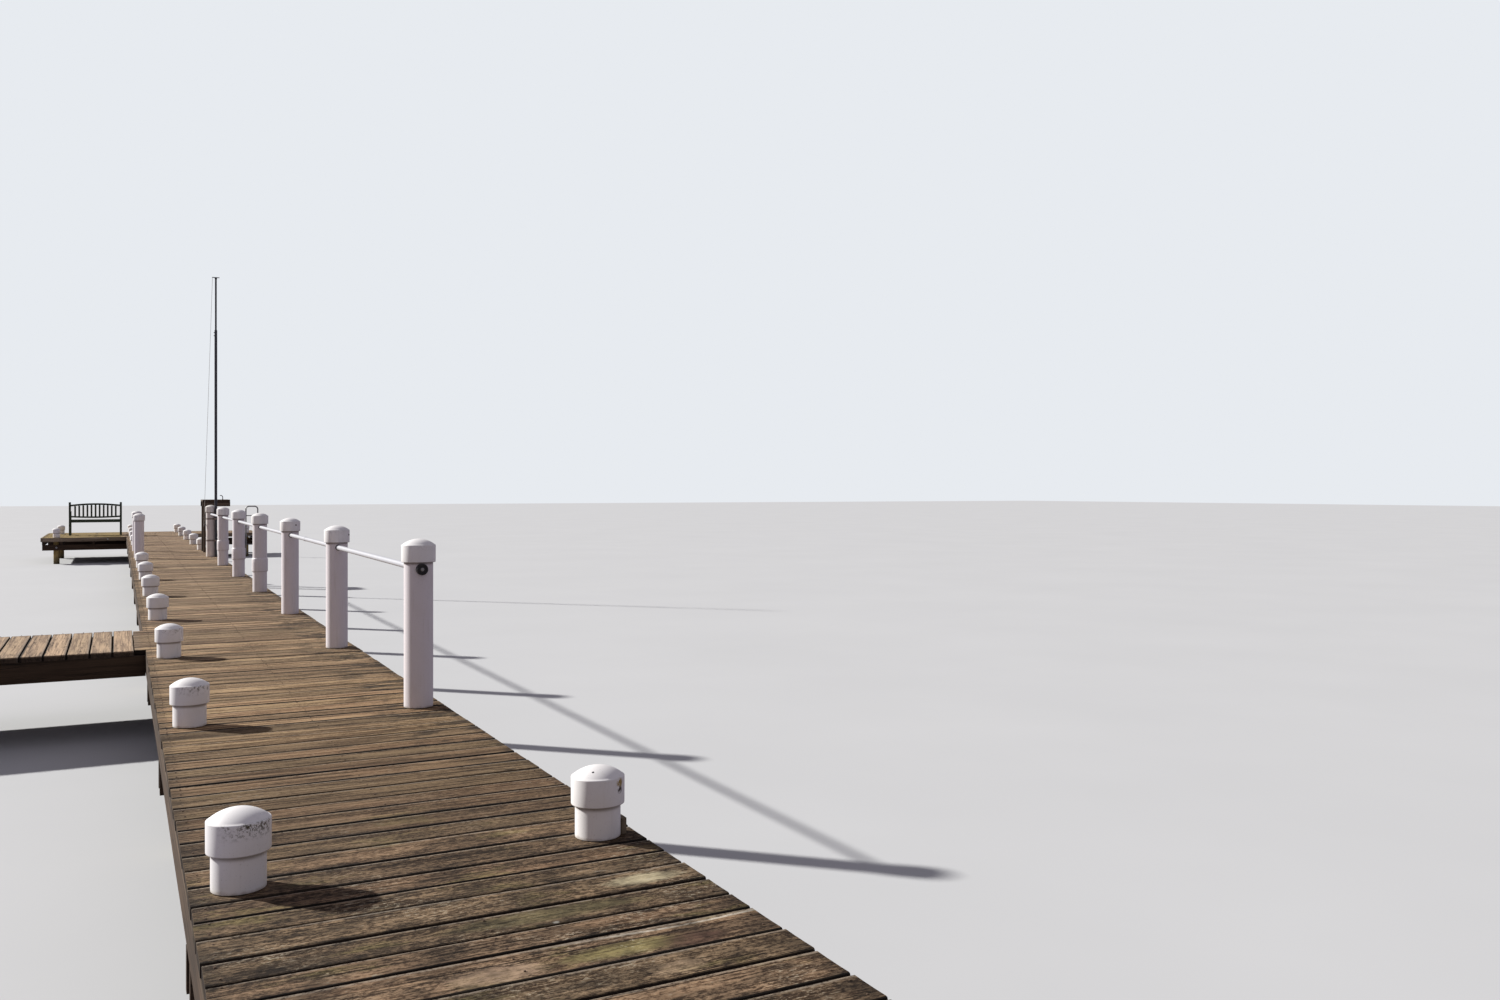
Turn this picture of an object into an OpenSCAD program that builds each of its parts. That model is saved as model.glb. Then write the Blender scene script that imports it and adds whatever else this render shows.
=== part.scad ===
// Timber jetty on piles: a plank walkway with a side finger and a T shaped head.
// Heights start at the water line under the piles, the deck runs along +Y from the shore.

/* [Walkway] */
// Distance between two bents of piles along the walkway
bay = 3000; // [2600:50:3050]
// Number of bays from the first visible bent to the last
bays = 12; // [10:1:12]
// Deck length on the shore side of the first visible bent
shore_run = 2300; // [1500:50:2400]
// Width of the walkway deck
deck_w = 1540; // [1300:10:1800]
// Height of the deck surface above the water line
deck_z = 715; // [600:5:1200]
// Thickness of the deck boards
board_t = 45; // [32:1:60]
// Open joint between neighbouring boards
board_gap = 8; // [4:1:12]

/* [Under the deck] */
// Diameter of a timber pile
pile_d = 150; // [120:2:180]
// Width of a stringer
stringer_w = 75; // [50:5:90]
// Depth of a stringer
stringer_h = 150; // [120:5:180]
// Thickness of one board of a twin crosshead
crosshead_t = 50; // [38:1:60]
// Depth of a crosshead
crosshead_h = 150; // [120:5:180]
// Depth of the flat housing that a crosshead seats in on a pile
housing = 12; // [6:1:18]

/* [Head] */
// Half the width of the head
head_half = 2780; // [2400:10:3000]
// Distance of the outer head piles from the head's side edges
head_pile_in = 335; // [240:5:500]
// How far the right wing's near edge stands back from the left wing's
right_set = 1650; // [1300:10:1900]
// Deck of the head on the shore side of its first bent
head_back = 150; // [120:5:400]
// Deck of the head past its last bent
head_front = 950; // [200:10:950]
// Thickness of the edge board round the head
fascia_t = 32; // [22:1:40]
// Depth of the edge board round the head
fascia_h = 110; // [90:5:140]

/* [Finger] */
// Near edge of the finger, from the first visible bent
finger_y = 6540; // [6400:10:6900]
// Width of the finger
finger_w = 1570; // [1300:10:1700]
// Length of the finger from the walkway's edge
finger_len = 3100; // [2400:50:3600]
// Thickness of a finger beam
finger_beam_t = 50; // [38:1:75]
// Depth of a finger beam
finger_beam_h = 165; // [130:5:180]
// Distance of the finger's piles from its outer end
finger_pile_in = 350; // [250:10:500]
// Distance of the finger's piles from its long edges
finger_pile_edge = 200; // [160:5:300]

/* [Post sleeves and caps] */
// Wall of the plastic sleeve over a pile
sleeve_wall = 7; // [4:1:9]
// Room between pile and sleeve
sleeve_room = 3; // [2:0.5:5]
// Length of a short bollard's sleeve above the deck
bollard_h = 220; // [180:5:400]
// Length of a tall post's sleeve above the deck
post_h = 960; // [920:5:1200]
// Outer diameter of a cap
cap_d = 200; // [190:1:220]
// Height of a cap's skirt
cap_skirt = 104; // [60:2:130]
// Thickness of a cap where it rests on the sleeve
cap_t = 6; // [4:1:10]
// Rise of a cap's dome
cap_rise = 35; // [20:1:50]
// Radius of the rounded shoulder of a cap
cap_round = 5; // [3:1:12]
// Outer diameter of the socket collar on some tall posts
collar_d = 190; // [184:1:200]
// Height of the socket collar
collar_h = 170; // [100:5:200]
// Height of the collar's lower end above the deck
collar_z = 260; // [150:5:400]

/* [Handrail] */
// Outer diameter of the handrail pipe
rail_d = 38; // [32:1:48]
// Wall of the handrail pipe
rail_wall = 3; // [2:0.5:4]
// Room between a cap's skirt and the rail's end fitting under it
rail_below = 6; // [2:1:60]
// Diameter of the fitting that closes each end of the rail
rail_end_d = 68; // [60:1:80]
// Length of that fitting outside the sleeve
rail_end_l = 26; // [20:1:40]

/* [Flagpole] */
// Diameter of the lower pole
pole_d = 50; // [42:1:60]
// Top of the lower pole above the deck
pole_h = 4390; // [3500:10:4800]
// Diameter of the upper pole
topmast_d = 34; // [24:1:38]
// Top of the upper pole above the deck
topmast_h = 5400; // [4900:10:5800]
// Thickness of the straps that hold the pole to its post
strap_t = 3; // [2:1:6]
// Height of a strap
strap_h = 30; // [20:1:50]
// Diameter of the halyard
halyard_d = 6; // [5:1:10]

/* [Cleaning table] */
// Height of the table's surface above the deck
table_h = 1090; // [850:10:1150]
// Size of the table top across the walkway
table_w = 530; // [500:10:800]
// Size of the table top along the walkway
table_l = 640; // [500:10:900]
// Thickness of the table top
table_t = 40; // [25:1:50]
// Side of a table leg
table_leg = 50; // [45:1:80]
// Depth of the table's bearers
table_bearer_h = 100; // [50:5:120]

/* [Ladder] */
// Distance between the axes of the ladder's stiles
ladder_w = 330; // [300:2:400]
// Diameter of the ladder's tubes
ladder_d = 38; // [30:1:42]
// Top of the ladder's hoop above the deck
ladder_h = 820; // [700:10:1000]
// Radius of the bends at the top of the hoop, on the tube's axis
ladder_bend = 90; // [60:5:120]
// Height of the hoop's grab bar above the deck
ladder_bar = 520; // [300:10:600]
// Distance between two rungs
rung_step = 250; // [200:10:300]
// Height of the ladder's lower end above the water line
ladder_foot = 60; // [20:10:200]

/* [Bench] */
// Width of the bench
bench_w = 1330; // [1200:10:1500]
// Depth of the bench seat
bench_seat_d = 460; // [400:10:520]
// Height of the bench seat
bench_seat_h = 445; // [400:5:480]
// Height of the posts at the ends of the bench back
bench_back_h = 945; // [880:5:1000]
// Rise of the arched top rail at its middle
bench_arch = 40; // [20:5:60]
// Sag of the back's lower rail at its middle
bench_sag = 20; // [8:2:30]
// Thickness of the bench timber
bench_t = 55; // [36:1:60]
// Number of slats in the back
bench_slats = 11; // [7:1:15]

/* [Hidden] */
$fn = 48;

// Clearance between two pieces that seat against each other
seat = 0.3;
// How far a cutting shape runs past the face that it opens
cut = 1;
// Clearance of the rail in its posts and of a pile in the deck
rail_room = 0.5;
pile_room = 2;

// Which bents carry tall posts, counted from the first visible bent
rail_first = 1;
rail_last = 7;
left_tall_first = 7;
left_tall_last = 8;
collar_first = 4;
collar_last = 6;
middle_first = 4;
outer_first = 8;

half = deck_w / 2;
pile_r = pile_d / 2;
pile_x = half - stringer_w - pile_r - seat;
sleeve_ri = pile_r + sleeve_room;
sleeve_r = sleeve_ri + sleeve_wall;
cap_r = cap_d / 2;
rail_z = post_h + cap_t - cap_skirt - rail_below - rail_end_d / 2;

// Levels from the deck surface down
board_z = deck_z - board_t;
stringer_z = board_z - stringer_h;
crosshead_z = stringer_z - crosshead_h;
finger_beam_z = board_z - finger_beam_h;
finger_bearer_z = finger_beam_z - crosshead_h;

// Ends of the deck, measured from the first visible bent
shore_y = -shore_run;
shore_bent_in = 150;
shore_bent_y = shore_y + shore_bent_in;
head_bent = bays - 1;
head_y = head_bent * bay - head_back;
right_y = head_y + right_set;
end_y = bays * bay + head_front;
head_pile_x = head_half - head_pile_in;
finger_end_x = -half - finger_len;
finger_far_y = finger_y + finger_w;
finger_pile_x = finger_end_x + finger_pile_in;

// The origin is the middle of the whole outline
mid_x = (min(finger_end_x, -head_half - fascia_t) + head_half + fascia_t) / 2;
mid_y = (shore_y - fascia_t + end_y + fascia_t) / 2;

timber = [0.46, 0.42, 0.37];
dark_timber = [0.27, 0.21, 0.16];
pile_brown = [0.45, 0.38, 0.25];
cream = [0.88, 0.85, 0.76];
galvanised = [0.78, 0.79, 0.77];
black = [0.1, 0.1, 0.1];
pole_dark = [0.16, 0.17, 0.2];
bench_green = [0.2, 0.26, 0.24];

// A squared piece between two corners, in walkway coordinates
module block(x0, x1, y0, y1, z0, z1)
    translate([x0 - mid_x, y0 - mid_y, z0]) cube([x1 - x0, y1 - y0, z1 - z0]);

// Puts a piece at a place in walkway coordinates
module at(x, y, z = 0) translate([x - mid_x, y - mid_y, z]) children();

// Walkway deck

module deck_bay(i, y0, y1) {
    difference() {
        block(-half, half, y0, y1 - board_gap, board_z, deck_z);
        for (side = [-1, 1])
            at(side * pile_x, i * bay, board_z - cut)
                cylinder(d = pile_d + 2 * pile_room, h = board_t + 2 * cut);
    }
}

module deck_bays(first, last)
    for (i = [first : last])
        deck_bay(i, i == 0 ? shore_y : (i - 0.5) * bay, i == head_bent - 1 ? head_y : (i + 0.5) * bay);

module deck_shore_bays() color(timber) deck_bays(0, middle_first - 1);
module deck_middle_bays() color(timber) deck_bays(middle_first, outer_first - 1);
module deck_outer_bays() color(timber) deck_bays(outer_first, head_bent - 1);

// The right wing's own near bent stands as far from its edge as the left wing's does
right_bent_y = right_y + head_back;
left_piles = [[-head_pile_x, head_bent * bay], [-head_pile_x, bays * bay]];
right_piles = [[head_pile_x, right_bent_y], [head_pile_x, bays * bay]];

// Two slabs: the left wing with the end of the walkway, and the shallower right wing
module deck_head()
    color(timber) difference() {
        union() {
            block(-head_half, half, head_y, end_y, board_z, deck_z);
            block(half + board_gap, head_half, right_y, end_y, board_z, deck_z);
        }
        for (x = [-pile_x, pile_x], i = [head_bent, bays])
            at(x, i * bay, board_z - cut) cylinder(d = pile_d + 2 * pile_room, h = board_t + 2 * cut);
        for (p = concat(left_piles, right_piles))
            at(p[0], p[1], board_z - cut) cylinder(d = pile_d + 2 * pile_room, h = board_t + 2 * cut);
    }

finger_pile_ys = [finger_y + finger_pile_edge, finger_far_y - finger_pile_edge];

module deck_finger()
    color(timber) difference() {
        block(finger_end_x, -half - board_gap, finger_y, finger_far_y, board_z, deck_z);
        for (y = finger_pile_ys)
            at(finger_pile_x, y, board_z - cut) cylinder(d = pile_d + 2 * pile_room, h = board_t + 2 * cut);
    }

// Piles: a round log with flat housings for its twin crosshead

module pile(top, crosshead_at, turned = 0, rail_hole = false)
    difference() {
        cylinder(d = pile_d, h = top);
        rotate([0, 0, turned]) for (side = [0, 180]) rotate([0, 0, side])
            translate([-pile_r, pile_r - housing, crosshead_at])
                cube([pile_d, housing + cut, crosshead_h]);
        if (rail_hole)
            translate([0, pile_r + cut, deck_z + rail_z]) rotate([90, 0, 0])
                cylinder(d = rail_d + 2 * rail_room, h = pile_d + 2 * cut);
    }

// Room between a pile's top and the underside of its cap
pile_top_room = 5;

function tall_right(i) = i >= rail_first && i <= rail_last;
function tall_left(i) = i >= left_tall_first && i <= left_tall_last;
function pile_top(tall) = deck_z + (tall ? post_h : bollard_h) - pile_top_room;

module shore_pile(x) at(x, shore_bent_y) pile(board_z - pile_top_room, crosshead_z);

module piles_left()
    color(pile_brown) {
        shore_pile(-pile_x);
        for (i = [0 : bays]) at(-pile_x, i * bay) pile(pile_top(tall_left(i)), crosshead_z);
    }

module piles_right()
    color(pile_brown) {
        shore_pile(pile_x);
        for (i = [0 : bays])
            at(pile_x, i * bay) pile(pile_top(tall_right(i)), crosshead_z, rail_hole = tall_right(i));
    }

module piles_head()
    color(pile_brown) for (p = concat(left_piles, right_piles))
        at(p[0], p[1]) pile(pile_top(false), crosshead_z);

module piles_finger()
    color(pile_brown) for (y = finger_pile_ys)
        at(finger_pile_x, y) pile(pile_top(false), finger_bearer_z, turned = 90);

// Twin crossheads, housed into both sides of each bent's piles

module crosshead_pair(y, left, right)
    for (side = [-1, 1]) {
        inner = side * (pile_r - housing);
        outer = inner + side * crosshead_t;
        block(left, right, y + min(inner, outer), y + max(inner, outer), crosshead_z,
            crosshead_z + crosshead_h);
    }

module crossheads()
    color(timber) {
        crosshead_pair(shore_bent_y, -half, half);
        for (i = [0 : head_bent - 1]) crosshead_pair(i * bay, -half, half);
        crosshead_pair(head_bent * bay, -head_half, half);
        crosshead_pair(right_bent_y, -half, head_half);
        crosshead_pair(bays * bay, -head_half, head_half);
    }

module stringers()
    color(timber) {
        for (side = [-1, 1])
            block(side > 0 ? half - stringer_w : -half, side > 0 ? half : -half + stringer_w,
                shore_y, end_y, stringer_z, board_z);
        block(-stringer_w / 2, stringer_w / 2, shore_y, end_y, stringer_z, board_z);
    }

// Joists of the head's two wings: at the edge, beside the pile and midway to the walkway, and
// one more along the walkway's stringer, where the right wing's boards end
joist_beside_pile = head_pile_x - pile_r - stringer_w - seat;
wing_joist_xs = [head_half - stringer_w, joist_beside_pile, (joist_beside_pile + half) / 2];

module head_joists()
    color(timber) {
        for (x = wing_joist_xs) {
            block(-x - stringer_w, -x, head_y, end_y, stringer_z, board_z);
            block(x, x + stringer_w, right_y, end_y, stringer_z, board_z);
        }
        block(half + seat, half + seat + stringer_w, right_y, end_y, stringer_z, board_z);
    }

// Edge boards round the head, their top edges level with the deck surface
module head_fascia() {
    low = deck_z - fascia_h;
    near = head_y - fascia_t;
    right_near = right_y - fascia_t;
    color(timber) {
        block(-head_half + seat, -half - seat, near, head_y, low, deck_z);
        block(half + seat, head_half - seat, right_near, right_y, low, deck_z);
        block(-head_half - fascia_t, -head_half, near, end_y + fascia_t, low, deck_z);
        block(head_half, head_half + fascia_t, right_near, end_y + fascia_t, low, deck_z);
        block(-head_half + seat, head_half - seat, end_y, end_y + fascia_t, low, deck_z);
    }
}

// Board across the shore ends of the stringers
module shore_trimmer()
    color(timber) block(-half, half, shore_y - fascia_t, shore_y, stringer_z, board_z);

// Finger: three beams from the walkway's edge stringer to a bent of two piles

module finger_beams()
    color(timber) for (y = [finger_y, finger_y + (finger_w - finger_beam_t) / 2,
            finger_far_y - finger_beam_t])
        block(finger_end_x, -half, y, y + finger_beam_t, finger_beam_z, board_z);

module finger_bearers()
    color(timber) for (side = [-1, 1]) {
        inner = side * (pile_r - housing);
        outer = inner + side * crosshead_t;
        block(finger_pile_x + min(inner, outer), finger_pile_x + max(inner, outer),
            finger_y, finger_far_y, finger_bearer_z, finger_bearer_z + crosshead_h);
    }

// Sleeves and caps

module sleeve(h, rail_hole = false)
    difference() {
        cylinder(r = sleeve_r, h = h);
        translate([0, 0, -cut]) cylinder(r = sleeve_ri, h = h + 2 * cut);
        if (rail_hole)
            translate([0, sleeve_r + cut, rail_z]) rotate([90, 0, 0])
                cylinder(d = rail_d + 2 * rail_room, h = 2 * (sleeve_r + cut));
    }

// Half outline of a cap: skirt, rounded shoulder and shallow dome
cap_lip = 1;
dome_a = cap_r - cap_round;
dome_r = (dome_a * dome_a + cap_rise * cap_rise) / (2 * cap_rise);
cap_profile = concat(
    [[0, 0], [sleeve_r + seat, 0], [sleeve_r + seat, cap_t - cap_skirt],
        [cap_r - cap_lip, cap_t - cap_skirt], [cap_r, cap_t - cap_skirt + cap_lip]],
    [for (a = [0 : 15 : 90]) [dome_a + cap_round * cos(a), cap_t - cap_round + cap_round * sin(a)]],
    [for (k = [5 : -1 : 0]) let (x = dome_a * k / 6)
        [x, cap_t + cap_rise - dome_r + sqrt(dome_r * dome_r - x * x)]]);

// A cap, its seat on the sleeve's end at height zero
module cap() rotate_extrude() polygon(cap_profile);

module bollard_sleeves_left()
    color(cream) for (i = [0 : bays]) if (!tall_left(i)) at(-pile_x, i * bay, deck_z) sleeve(bollard_h);

module bollard_sleeves_right()
    color(cream) for (i = [0 : bays]) if (!tall_right(i)) at(pile_x, i * bay, deck_z) sleeve(bollard_h);

module bollard_sleeves_head()
    color(cream) for (p = concat(left_piles, right_piles)) at(p[0], p[1], deck_z) sleeve(bollard_h);

module bollard_sleeves_finger()
    color(cream) for (y = finger_pile_ys) at(finger_pile_x, y, deck_z) sleeve(bollard_h);

module post_sleeves_left()
    color(cream) for (i = [left_tall_first : left_tall_last])
        at(-pile_x, i * bay, deck_z) sleeve(post_h);

module post_sleeves_right()
    color(cream) for (i = [rail_first : rail_last])
        at(pile_x, i * bay, deck_z) sleeve(post_h, rail_hole = true);

module bollard_caps()
    color(cream) {
        z = deck_z + bollard_h;
        for (i = [0 : bays]) {
            if (!tall_left(i)) at(-pile_x, i * bay, z) cap();
            if (!tall_right(i)) at(pile_x, i * bay, z) cap();
        }
        for (p = concat(left_piles, right_piles)) at(p[0], p[1], z) cap();
        for (y = finger_pile_ys) at(finger_pile_x, y, z) cap();
    }

module post_caps()
    color(cream) {
        z = deck_z + post_h;
        for (i = [left_tall_first : left_tall_last]) at(-pile_x, i * bay, z) cap();
        for (i = [rail_first : rail_last]) at(pile_x, i * bay, z) cap();
    }

// Socket collars: the bell ends where a tall sleeve is made of two lengths
collar_chamfer = 8;
collar_edge = 1;

module socket_collars()
    color(cream) for (i = [collar_first : collar_last])
        at(pile_x, i * bay, deck_z + collar_z) rotate_extrude()
            polygon([[sleeve_r + seat, 0], [collar_d / 2, 0], [collar_d / 2, collar_h - collar_chamfer],
                [sleeve_r + seat + collar_edge, collar_h], [sleeve_r + seat, collar_h]]);

// Handrail: one pipe through the tall posts of the right row

rail_end_wall = 8;
rail_end_bevel = 5;
rail_reach = sleeve_r + rail_end_l - rail_end_wall;
rail_y0 = rail_first * bay - rail_reach;
rail_y1 = rail_last * bay + rail_reach;

module handrail()
    color(cream) at(pile_x, rail_y1, deck_z + rail_z) rotate([90, 0, 0]) difference() {
        cylinder(d = rail_d, h = rail_y1 - rail_y0);
        translate([0, 0, -cut]) cylinder(d = rail_d - 2 * rail_wall, h = rail_y1 - rail_y0 + 2 * cut);
    }

// A fitting that closes the rail's end, scooped to sit against the round sleeve
module rail_end()
    difference() {
        rotate([90, 0, 0]) union() {
            cylinder(d = rail_end_d, h = sleeve_r + rail_end_l - rail_end_bevel);
            cylinder(d = rail_end_d - 2 * rail_end_bevel, h = sleeve_r + rail_end_l);
        }
        translate([0, 0, -rail_end_d]) cylinder(r = sleeve_r + seat, h = 2 * rail_end_d);
        rotate([90, 0, 0]) cylinder(d = rail_d + 2 * seat, h = rail_reach + seat);
    }

module rail_end_fittings()
    color(black) {
        at(pile_x, rail_first * bay, deck_z + rail_z) rail_end();
        at(pile_x, rail_last * bay, deck_z + rail_z) rotate([0, 0, 180]) rail_end();
    }

// Flagpole strapped to the last tall post of the right row

pole_turn = -50;
pole_out = cap_r + pole_d / 2 + 2 * seat;
pole_x = pile_x + pole_out * cos(pole_turn);
pole_y = rail_last * bay + pole_out * sin(pole_turn);
strap_zs = [300, 720];
strap_web = 20;
topmast_lap = 120;

module flagpole()
    color(pole_dark) at(pole_x, pole_y, deck_z) difference() {
        cylinder(d = pole_d, h = pole_h);
        translate([0, 0, pole_h - topmast_lap]) cylinder(d = topmast_d + 2 * seat, h = topmast_lap + cut);
    }

module topmast()
    color(pole_dark) at(pole_x, pole_y, deck_z + pole_h - topmast_lap)
        cylinder(d = topmast_d, h = topmast_h - pole_h + topmast_lap);

truck_h = 22;
truck_half = 66;
truck_w = 24;
truck_t = 16;
truck_wall = 4;

// Truck: a short crossbar on a socket that covers the topmast's end
module flagpole_truck()
    color(pole_dark) at(pole_x, pole_y, deck_z + topmast_h) {
        translate([0, 0, -truck_h]) difference() {
            cylinder(d = topmast_d + 2 * truck_wall, h = truck_h);
            translate([0, 0, -cut]) cylinder(d = topmast_d + 2 * seat, h = truck_h + cut);
        }
        translate([-truck_half, -truck_w / 2, 0]) cube([2 * truck_half, truck_w, truck_t]);
    }

// A flat ring round a pipe
module band(bore_r)
    difference() {
        cylinder(r = bore_r + strap_t, h = strap_h);
        translate([0, 0, -cut]) cylinder(r = bore_r, h = strap_h + 2 * cut);
    }

// One band round the post's sleeve and one round the pole, with a web between them
module strap() {
    post_bore = sleeve_r + seat;
    pole_bore = pole_d / 2 + seat;
    band(post_bore);
    translate([pole_out, 0, 0]) band(pole_bore);
    translate([post_bore + strap_t / 2, -strap_web / 2, 0])
        cube([pole_out - post_bore - pole_bore - strap_t * 2 / 3, strap_web, strap_h]);
}

module flagpole_straps()
    color(cream) for (z = strap_zs)
        at(pile_x, rail_last * bay, deck_z + z) rotate([0, 0, pole_turn]) strap();

// Cleat on the post's side, and the halyard from the truck's arm down to it
cleat_z = 620;
cleat_out = 125;
cleat_peg_d = 14;
cleat_horn = 90;

module halyard_cleat()
    color(pole_dark) at(pile_x, rail_last * bay, deck_z + cleat_z) {
        difference() {
            rotate([0, -90, 0]) cylinder(d = cleat_peg_d, h = cleat_out);
            translate([0, 0, -cleat_peg_d]) cylinder(r = sleeve_r + seat, h = 2 * cleat_peg_d);
        }
        translate([-cleat_out, 0, -cleat_horn / 2]) cylinder(d = cleat_peg_d, h = cleat_horn);
    }

halyard_low = [pile_x - cleat_out, rail_last * bay - cleat_peg_d / 2 - halyard_d / 2 - seat,
    deck_z + cleat_z - cleat_horn / 4];
halyard_high = [pole_x - truck_half + halyard_d, pole_y, deck_z + topmast_h - seat];

module halyard() {
    run = halyard_high - halyard_low;
    long = norm(run);
    color("white") at(halyard_low[0], halyard_low[1], halyard_low[2])
        rotate([0, acos(run[2] / long), atan2(run[1], run[0])]) cylinder(d = halyard_d, h = long);
}

// Cleaning table at the right edge, its outer legs bolted outside the edge stringer

table_back = 1170;
table_y = outer_first * bay - table_back;
table_in = 195;
table_x = half - table_in;
table_leg_in = 15;

table_leg_ys = [table_y + table_leg_in, table_y + table_l - table_leg_in - table_leg];
table_low = deck_z + table_h - table_t;

module table_legs()
    color(dark_timber) for (y = table_leg_ys) {
        block(table_x + table_leg_in, table_x + table_leg_in + table_leg, y, y + table_leg, deck_z,
            table_low - table_bearer_h);
        block(half + seat, half + seat + table_leg, y, y + table_leg, stringer_z,
            table_low - table_bearer_h);
    }

module table_bearers()
    color(dark_timber) for (y = table_leg_ys)
        block(table_x, table_x + table_w, y, y + table_leg, table_low - table_bearer_h, table_low);

module table_top()
    color(dark_timber) block(table_x, table_x + table_w, table_y, table_y + table_l, table_low,
        table_low + table_t);

tap_d = 16;
tap_h = 50;
tap_bend = 36;
tap_turn = 120;
tap_flange_d = 30;
tap_flange_h = 8;
tap_from_left = 425;
tap_from_far = 60;

module table_tap()
    color(pole_dark) at(table_x + tap_from_left, table_y + table_l - tap_from_far,
        deck_z + table_h) {
        cylinder(d = tap_flange_d, h = tap_flange_h);
        cylinder(d = tap_d, h = tap_h);
        translate([-tap_bend, 0, tap_h]) rotate([90, 0, 0]) rotate_extrude(angle = tap_turn)
            translate([tap_bend, 0]) circle(d = tap_d);
    }

// Ladder at the near edge of the head's right wing

ladder_in = 190;
ladder_x = head_half - ladder_in;
ladder_stand = 60;
ladder_r = ladder_w / 2;
ladder_y = right_y - fascia_t - ladder_stand;
ladder_top_z = deck_z + ladder_h - ladder_d / 2;
ladder_bow_z = ladder_top_z - ladder_bend;

// One bent tube: two stiles, two quarter bends and the level top of the hoop
module ladder_frame()
    color(galvanised) {
        for (side = [-1, 1]) {
            at(ladder_x + side * ladder_r, ladder_y, ladder_foot)
                cylinder(d = ladder_d, h = ladder_bow_z - ladder_foot);
            at(ladder_x + side * (ladder_r - ladder_bend), ladder_y, ladder_bow_z)
                rotate([90, side > 0 ? 0 : -90, 0]) rotate_extrude(angle = 90)
                    translate([ladder_bend, 0]) circle(d = ladder_d);
        }
        at(ladder_x - ladder_r + ladder_bend, ladder_y, ladder_top_z) rotate([0, 90, 0])
            cylinder(d = ladder_d, h = ladder_w - 2 * ladder_bend);
    }

rung_d = 28;
rung_above_foot = 60;
first_rung = ladder_foot + rung_above_foot;
bracket_below = 80;
bracket_z = deck_z - bracket_below;
bracket_h = 50;
bracket_w = 40;
bracket_wall = 7;
rungs = floor((bracket_z - rung_d / 2 - first_rung) / rung_step) + 1;

// A rung runs between the stiles, its ends scooped to fit their round sides
module rung()
    difference() {
        translate([-ladder_r, 0, 0]) rotate([0, 90, 0]) cylinder(d = rung_d, h = ladder_w);
        for (side = [-1, 1])
            translate([side * ladder_r, 0, -rung_d]) cylinder(d = ladder_d + 2 * seat, h = 2 * rung_d);
    }

module ladder_rungs()
    color(galvanised) {
        for (k = [0 : rungs - 1]) at(ladder_x, ladder_y, first_rung + k * rung_step) rung();
        at(ladder_x, ladder_y, deck_z + ladder_bar) rung();
    }

// Brackets that hold each stile off the edge board
module ladder_brackets()
    color(galvanised) for (side = [-1, 1])
        at(ladder_x + side * ladder_r, ladder_y, bracket_z) difference() {
            union() {
                cylinder(d = ladder_d + 2 * bracket_wall, h = bracket_h);
                translate([-bracket_w / 2, 0, 0]) cube([bracket_w, ladder_stand - seat, bracket_h]);
            }
            translate([0, 0, -cut]) cylinder(d = ladder_d + 2 * seat, h = bracket_h + 2 * cut);
        }

// Bench on the head's left wing, its back towards the shore

bench_side = 1240;
bench_from_end = 2500;
bench_x = -head_half + bench_side;
bench_y = end_y - bench_from_end;
bench_rake = 70;
bench_leg = 60;
bench_arm_h = 200;
bench_arm_t = 36;
bench_arm_back = 14;
bench_arm_nose = 20;
bench_stretcher_z = 110;
bench_stretcher_h = 45;
bench_board_t = 20;
bench_seat_rail = 60;
bench_top_rail = 50;
bench_post_above = 70;
bench_low_rail = 46;
bench_low_above = 68;

// Side outline of a bench end: rear post with raked back, front leg, seat rail, arm and stretcher
module bench_end_outline() {
    polygon([[0, 0], [bench_leg, 0], [bench_leg, bench_seat_h], [bench_leg - bench_rake, bench_back_h],
        [-bench_rake, bench_back_h], [0, bench_seat_h]]);
    translate([bench_seat_d - bench_leg, 0]) square([bench_leg, bench_seat_h + bench_arm_h]);
    translate([0, bench_seat_h - bench_board_t - bench_seat_rail])
        square([bench_seat_d, bench_seat_rail]);
    translate([-bench_arm_back, bench_seat_h + bench_arm_h])
        square([bench_arm_back + bench_seat_d + bench_arm_nose, bench_arm_t]);
    translate([bench_leg / 2, bench_stretcher_z])
        square([bench_seat_d - bench_leg, bench_stretcher_h]);
}

module bench_ends()
    color(bench_green) for (side = [-1, 1])
        at(bench_x + side * (bench_w - bench_t) / 2 - bench_t / 2, bench_y, deck_z)
            rotate([90, 0, 90]) linear_extrude(bench_t) bench_end_outline();

bench_in = bench_w - 2 * bench_t - 2 * seat;
bench_rail_t = 36;
back_slope = bench_rake / (bench_back_h - bench_seat_h);
bench_top_z = bench_back_h - bench_post_above - bench_top_rail;
bench_low_z = bench_seat_h + bench_low_above;
bench_seat_rail_z = bench_seat_h - bench_board_t - bench_seat_rail;

// Middle of the raked back at a height above the seat
function back_y(z) = bench_leg / 2 - back_slope * max(0, z - bench_seat_h);
// Radius of a rail that rises by a given amount at its middle, and its rise at a distance from it
function bow_r(rise) = (bench_in * bench_in / 4 + rise * rise) / (2 * rise);
function bow(rise, x) = rise - bow_r(rise) + sqrt(bow_r(rise) * bow_r(rise) - x * x);

// Outline of a bowed rail, seen from the back
bow_facets = 180;
module bowed_outline(rise, h)
    intersection() {
        translate([-bench_in / 2, -cut]) square([bench_in, h + rise + 2 * cut]);
        difference() {
            translate([0, h + rise - bow_r(rise)]) circle(r = bow_r(rise), $fn = bow_facets);
            translate([0, rise - bow_r(rise)]) circle(r = bow_r(rise), $fn = bow_facets);
        }
    }

// Puts a rail's outline upright on the middle of the raked back, its ends' lower corners at z
module back_rail(z, h)
    at(bench_x, bench_y + back_y(z + h / 2) + bench_rail_t / 2, deck_z + z)
        rotate([90, 0, 0]) linear_extrude(bench_rail_t) children();

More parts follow.
